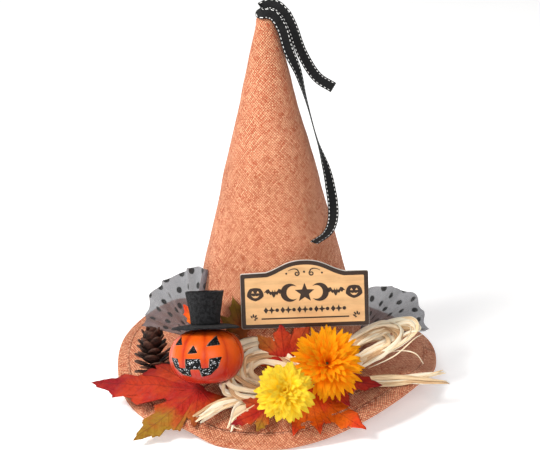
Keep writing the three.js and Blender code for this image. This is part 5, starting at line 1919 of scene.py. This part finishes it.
# ---- Tulle ----
def build_tulle_fan(name, frame_at, corners, pleats, node_name, seed):
    """A gathered fan of dotted net. Corners are [direction in degrees, reach]."""
    draw = np.random.RandomState(seed)
    cols, lines = 30 * pleats, 26
    edge = smooth_curve([(d, r, 0) for d, r in corners], 60)
    t = np.linspace(0, 1, cols)
    at = np.interp(t, np.linspace(0, 1, len(edge)), np.arange(len(edge)))
    degrees, reach = (np.interp(at, np.arange(len(edge)), edge[:, k]) for k in (0, 1))
    beat = t + 0.018 * np.sin(2 * math.pi * t * 3.1 + draw.uniform(0, 6))
    reach = reach * (
        1.06 + 0.025 * np.sin(2 * math.pi * 2.2 * beat + seed) + 0.006 * np.sin(2 * math.pi * 9 * beat)
    )
    share = np.linspace(0.07, 1, lines)[:, None]
    fold = np.sin(2 * math.pi * pleats * beat)[None]
    fold = fold * (1 + 0.25 * np.sin(2 * math.pi * 1.7 * t + 2))[None]
    swing = np.radians(degrees)[None] + 0.02 * np.cos(2 * math.pi * pleats * beat)[None] * share
    r = reach[None] * share
    z = 0.062 * r * fold + 1.2 * np.sin(math.pi * share) + 0.4
    rows = joined(r * np.cos(swing), r * np.sin(swing), z + 0 * r)
    across = arc_length(rows[-1])
    uv = joined(across[None], r)
    area_points = moved(frame_at, rows.reshape(-1, 3))
    kept = off_gourd(off_hat(area_points, 1.0, 0.8), 0.6).reshape(rows.shape)
    net = Shape().grid(kept, uv)
    piece = make(name, net, netted(), stands_for=(node_name,))


def build_tulle():
    left = facing(beside(-147.5, 6.1, 22), -25, 25)
    right = facing(beside(-31, 9.5, 22), 25, 25)
    build_tulle_fan(
        "tulle_left_fan", left, ((88, 56), (116, 57), (152, 54), (176, 50)), 5, "tulle_left", 31
    )
    build_tulle_fan(
        "tulle_right_fan", right, ((-12, 60), (4, 62), (29, 54), (62, 37)), 4, "tulle_right", 32
    )
    thread = threaded("Tulle thread", (0.03, 0.03, 0.032), (0.14, 0.14, 0.15))
    for name, frame_at, node_name in (
        ("tulle_left_binding", left, "tulle_left_tie"), ("tulle_right_binding", right, "tulle_right_tie")
    ):
        wound = Shape()
        draw = np.random.RandomState(9)
        for i in range(10):
            turn = np.linspace(0, 2 * math.pi, 21)
            reach, tilt = 2.7 - 0.18 * abs(i - 4.5), draw.uniform(-0.25, 0.25)
            loop = joined(-2.2 + 0.5 * i + tilt * np.sin(turn), reach * np.cos(turn), reach * np.sin(turn))
            rod(wound, moved(frame_at, loop), 0.4, 6)
        wound.change(lambda p: off_hat(p, 0.4, 0.4))
        make(name, wound, thread, stands_for=(node_name,))


# ---- Parts that stay as they are in the frame ----
def build_inner_finishes():
    for name in ("crown_card", "brim_card"):
        keep_solid(name, carded())
    keep_solid("inner_band", taped())
    keep_solid("brim_edge_wire", wired("Edge wire", (0.35, 0.35, 0.36), (0.7, 0.7, 0.71), 1.0))
    keep_solid("pine_cone_wire", wired("Wound florist wire", (0.05, 0.035, 0.02), (0.12, 0.09, 0.06), 0.1))
    for name in ("sign_glue_pad", "pumpkin_glue_pad", "bow_glue_pad"):
        keep_solid(name, glued())
    for name in ("yellow_mum_calyx", "orange_mum_calyx"):
        keep_solid(name, green("Green calyx", (0.06, 0.11, 0.02), (0.16, 0.26, 0.05)))
    for name in ("yellow_mum_stem", "orange_mum_stem"):
        keep_solid(name, green("Green stem", (0.08, 0.12, 0.03), (0.2, 0.26, 0.08)))
    edged = ("inner_band", "crown_card", "brim_card", "brim_edge_wire")
    soft = ("pine_cone_wire", "pumpkin_glue_pad", "bow_glue_pad", "yellow_mum_calyx", "orange_mum_calyx")
    for name in (*soft, *edged):
        mesh = frame["nodes"][name].data
        mesh.polygons.foreach_set("use_smooth", [True] * len(mesh.polygons))
        if name in edged:
            mesh.set_sharp_from_angle(angle=math.radians(40))


# ---- Stage ----
def build_stage(distance, pitch, roll):
    scene = bpy.context.scene
    scene.view_settings.view_transform = "Standard"
    world = bpy.data.worlds.new("Studio")
    scene.world = world
    world.use_nodes = True
    world.node_tree.nodes["Background"].inputs["Color"].default_value = (1, 1, 1, 1)
    world.node_tree.nodes["Background"].inputs["Strength"].default_value = 0.3

    def paper(tree, shader):
        soft = dyed(tree, (0.9, 0.9, 0.9), (0.93, 0.93, 0.93), 3.0, 0.1)
        return {"Base Color": soft["Colour"]}

    mesh = bpy.data.meshes.new("floor")
    size = 30.0
    mesh.from_pydata(
        [(-size, -size, 0), (size, -size, 0), (size, size, 0), (-size, size, 0)], [], [(0, 1, 2, 3)]
    )
    mesh.materials.append(
        finish(
            "Pale floor", paper, roughness=0.9, specular_ior_level=0.1, emission_color=(1, 1, 1, 1),
            emission_strength=0.34,
        )
    )
    floor = linked("floor", mesh)
    floor.location.z = -0.0002
    target = Vector((AXIS[0] - 0.002, AXIS[1], 0.138))
    camera = linked("camera", bpy.data.cameras.new("camera"))
    tilt = math.radians(pitch)
    back = Vector((0, -math.cos(tilt), math.sin(tilt)))
    camera.location = target + back * distance
    turn = (-back).to_track_quat("-Z", "Y").to_matrix().to_4x4() @ Matrix.Rotation(
        math.radians(-roll), 4, "Z"
    )
    camera.rotation_euler = turn.to_euler()
    camera.data.sensor_width, camera.data.lens = 36.0, 101.93
    camera.data.clip_start = 0.05
    scene.camera = camera
    for name, place, power, width, tint in (
        ("key", (-1.2, -0.75, 1.5), 38.0, 0.6, (1.0, 0.985, 0.96)),
        ("fill", (0.35, -1.35, 1.0), 8.0, 0.9, (0.98, 0.98, 1.0)),
        ("back", (-0.4, 1.1, 1.2), 6.0, 0.8, (1.0, 1.0, 1.0)),
    ):
        light = bpy.data.lights.new(name, "AREA")
        light.energy, light.size, light.color = power, width, tint
        lamp = linked(name, light)
        lamp.location = place
        lamp.rotation_euler = (Vector((0, 0, 0.12)) - Vector(place)).to_track_quat("-Z", "Y").to_euler()


# ---- The add-on: its settings, operators and panel ----
def colour_setting(name, description, default):
    return bpy.props.FloatVectorProperty(
        name=name, description=description, subtype="COLOR", size=3, min=0.0, max=1.0, default=default
    )


class WitchHatClothSettings(bpy.types.PropertyGroup):
    """Colours of the hat's cloth."""

    deep: colour_setting("Deep thread", "Colour of the darker threads", (0.52, 0.1, 0.036))
    pale: colour_setting("Pale thread", "Colour of the lighter threads", (1.0, 0.52, 0.29))
    # The under-brim cloth is darkened by this share, as painted shade beneath the brim.
    under_painted_shade: bpy.props.FloatProperty(
        name="Under shade", description="Brightness of the cloth under the brim", default=0.8, min=0.1,
        max=1.0, subtype="FACTOR"
    )


class WitchHatTrimSettings(bpy.types.PropertyGroup):
    """Sizes and colours of the trimmings."""

    ribbon_width: bpy.props.FloatProperty(
        name="Ribbon width", description="Width of the ribbon, in millimetres", default=8.8, min=6.0,
        max=14.0
    )
    sign_tan: colour_setting("Sign face", "Printed tan of the sign's face", (0.75, 0.43, 0.19))
    sign_brown: colour_setting(
        "Sign ink", "Dark brown of the sign's border and motifs", (0.032, 0.014, 0.006)
    )
    cone_scales: bpy.props.IntProperty(
        name="Cone scales", description="Number of scales on the pine cone", default=46, min=24, max=120
    )


class WitchHatStageSettings(bpy.types.PropertyGroup):
    """Where the camera stands."""

    distance: bpy.props.FloatProperty(
        name="Distance", description="From the camera to the hat", default=1.3, min=0.3, max=5.0,
        unit="LENGTH"
    )
    pitch: bpy.props.FloatProperty(
        name="Pitch", description="How far the camera looks down, in degrees", default=23.0, min=0.0,
        max=80.0,
    )
    roll: bpy.props.FloatProperty(
        name="Roll", description="How far the camera is rolled, in degrees", default=1.95, min=-20.0,
        max=20.0,
    )


class WitchHatOperator:
    bl_options = {"REGISTER", "UNDO"}


class WITCHHAT_OT_stage(WitchHatOperator, bpy.types.Operator):
    """Set out the floor, the lights and the camera"""

    bl_idname = "witch_hat.stage"
    bl_label = "Stage"

    def execute(self, context):
        stage = context.scene.witch_hat_stage
        build_stage(stage.distance, stage.pitch, stage.roll)
        return {"FINISHED"}


class WITCHHAT_OT_crown(WitchHatOperator, bpy.types.Operator):
    """Make the cloth cone with its seam"""

    bl_idname = "witch_hat.crown"
    bl_label = "Crown"

    def execute(self, context):
        cloth = context.scene.witch_hat_cloth
        build_crown((tuple(cloth.deep), tuple(cloth.pale)))
        return {"FINISHED"}


class WITCHHAT_OT_brim(WitchHatOperator, bpy.types.Operator):
    """Make the wavy brim with its hem"""

    bl_idname = "witch_hat.brim"
    bl_label = "Brim"

    def execute(self, context):
        cloth = context.scene.witch_hat_cloth
        build_brim((tuple(cloth.deep), tuple(cloth.pale)), cloth.under_painted_shade)
        build_inner_finishes()
        return {"FINISHED"}


class WITCHHAT_OT_ribbon(WitchHatOperator, bpy.types.Operator):
    """Make the ribbon's fold at the tip and its two tails"""

    bl_idname = "witch_hat.ribbon"
    bl_label = "Ribbon"

    def execute(self, context):
        build_ribbon(context.scene.witch_hat_trim.ribbon_width)
        return {"FINISHED"}


class WITCHHAT_OT_sign(WitchHatOperator, bpy.types.Operator):
    """Make the painted sign"""

    bl_idname = "witch_hat.sign"
    bl_label = "Sign"

    def execute(self, context):
        trim = context.scene.witch_hat_trim
        build_sign(tuple(trim.sign_tan), tuple(trim.sign_brown))
        return {"FINISHED"}


class WITCHHAT_OT_pumpkin(WitchHatOperator, bpy.types.Operator):
    """Make the jack-o'-lantern and its felt top hat"""

    bl_idname = "witch_hat.pumpkin"
    bl_label = "Pumpkin"

    def execute(self, context):
        build_pumpkin()
        build_top_hat()
        return {"FINISHED"}


class WITCHHAT_OT_pine_cone(WitchHatOperator, bpy.types.Operator):
    """Make the pine cone, scale by scale"""

    bl_idname = "witch_hat.pine_cone"
    bl_label = "Pine cone"

    def execute(self, context):
        build_pine_cone(context.scene.witch_hat_trim.cone_scales)
        return {"FINISHED"}


class WITCHHAT_OT_mums(WitchHatOperator, bpy.types.Operator):
    """Make the two mums, petal by petal"""

    bl_idname = "witch_hat.mums"
    bl_label = "Mums"

    def execute(self, context):
        build_yellow_mum()
        build_orange_mum()
        return {"FINISHED"}


class WITCHHAT_OT_raffia(WitchHatOperator, bpy.types.Operator):
    """Make the raffia bow, strand by strand"""

    bl_idname = "witch_hat.raffia"
    bl_label = "Raffia bow"

    def execute(self, context):
        build_raffia()
        return {"FINISHED"}


class WITCHHAT_OT_leaves(WitchHatOperator, bpy.types.Operator):
    """Make the maple leaves"""

    bl_idname = "witch_hat.leaves"
    bl_label = "Leaves"

    def execute(self, context):
        build_leaves()
        return {"FINISHED"}


class WITCHHAT_OT_tulle(WitchHatOperator, bpy.types.Operator):
    """Make the two fans of dotted net"""

    bl_idname = "witch_hat.tulle"
    bl_label = "Tulle"

    def execute(self, context):
        build_tulle()
        return {"FINISHED"}


OPERATORS = (
    WITCHHAT_OT_stage, WITCHHAT_OT_crown, WITCHHAT_OT_brim, WITCHHAT_OT_ribbon, WITCHHAT_OT_sign,
    WITCHHAT_OT_pumpkin, WITCHHAT_OT_pine_cone, WITCHHAT_OT_mums, WITCHHAT_OT_raffia, WITCHHAT_OT_leaves,
    WITCHHAT_OT_tulle,
)


class WITCHHAT_PT_panel(bpy.types.Panel):
    """Lists the hat's settings and its makers"""

    bl_label = "Witch Hat"
    bl_idname = "WITCHHAT_PT_panel"
    bl_space_type = "VIEW_3D"
    bl_region_type = "UI"
    bl_category = "Witch Hat"

    def draw(self, context):
        scene = context.scene
        for settings in (scene.witch_hat_cloth, scene.witch_hat_trim, scene.witch_hat_stage):
            box = self.layout.box()
            for key in settings.__annotations__:
                box.prop(settings, key)
        for operator in OPERATORS:
            self.layout.operator(operator.bl_idname)


SETTINGS = {
    "witch_hat_cloth": WitchHatClothSettings,
    "witch_hat_trim": WitchHatTrimSettings,
    "witch_hat_stage": WitchHatStageSettings,
}
CLASSES = (*SETTINGS.values(), *OPERATORS, WITCHHAT_PT_panel)


def register():
    for each in CLASSES:
        bpy.utils.register_class(each)
    for name, settings in SETTINGS.items():
        setattr(bpy.types.Scene, name, bpy.props.PointerProperty(type=settings))


def unregister():
    for name in SETTINGS:
        delattr(bpy.types.Scene, name)
    for each in reversed(CLASSES):
        bpy.utils.unregister_class(each)


def main():
    register()
    for operator in OPERATORS:
        space, name = operator.bl_idname.split(".")
        getattr(getattr(bpy.ops, space), name)()


if __name__ == "__main__":
    main()
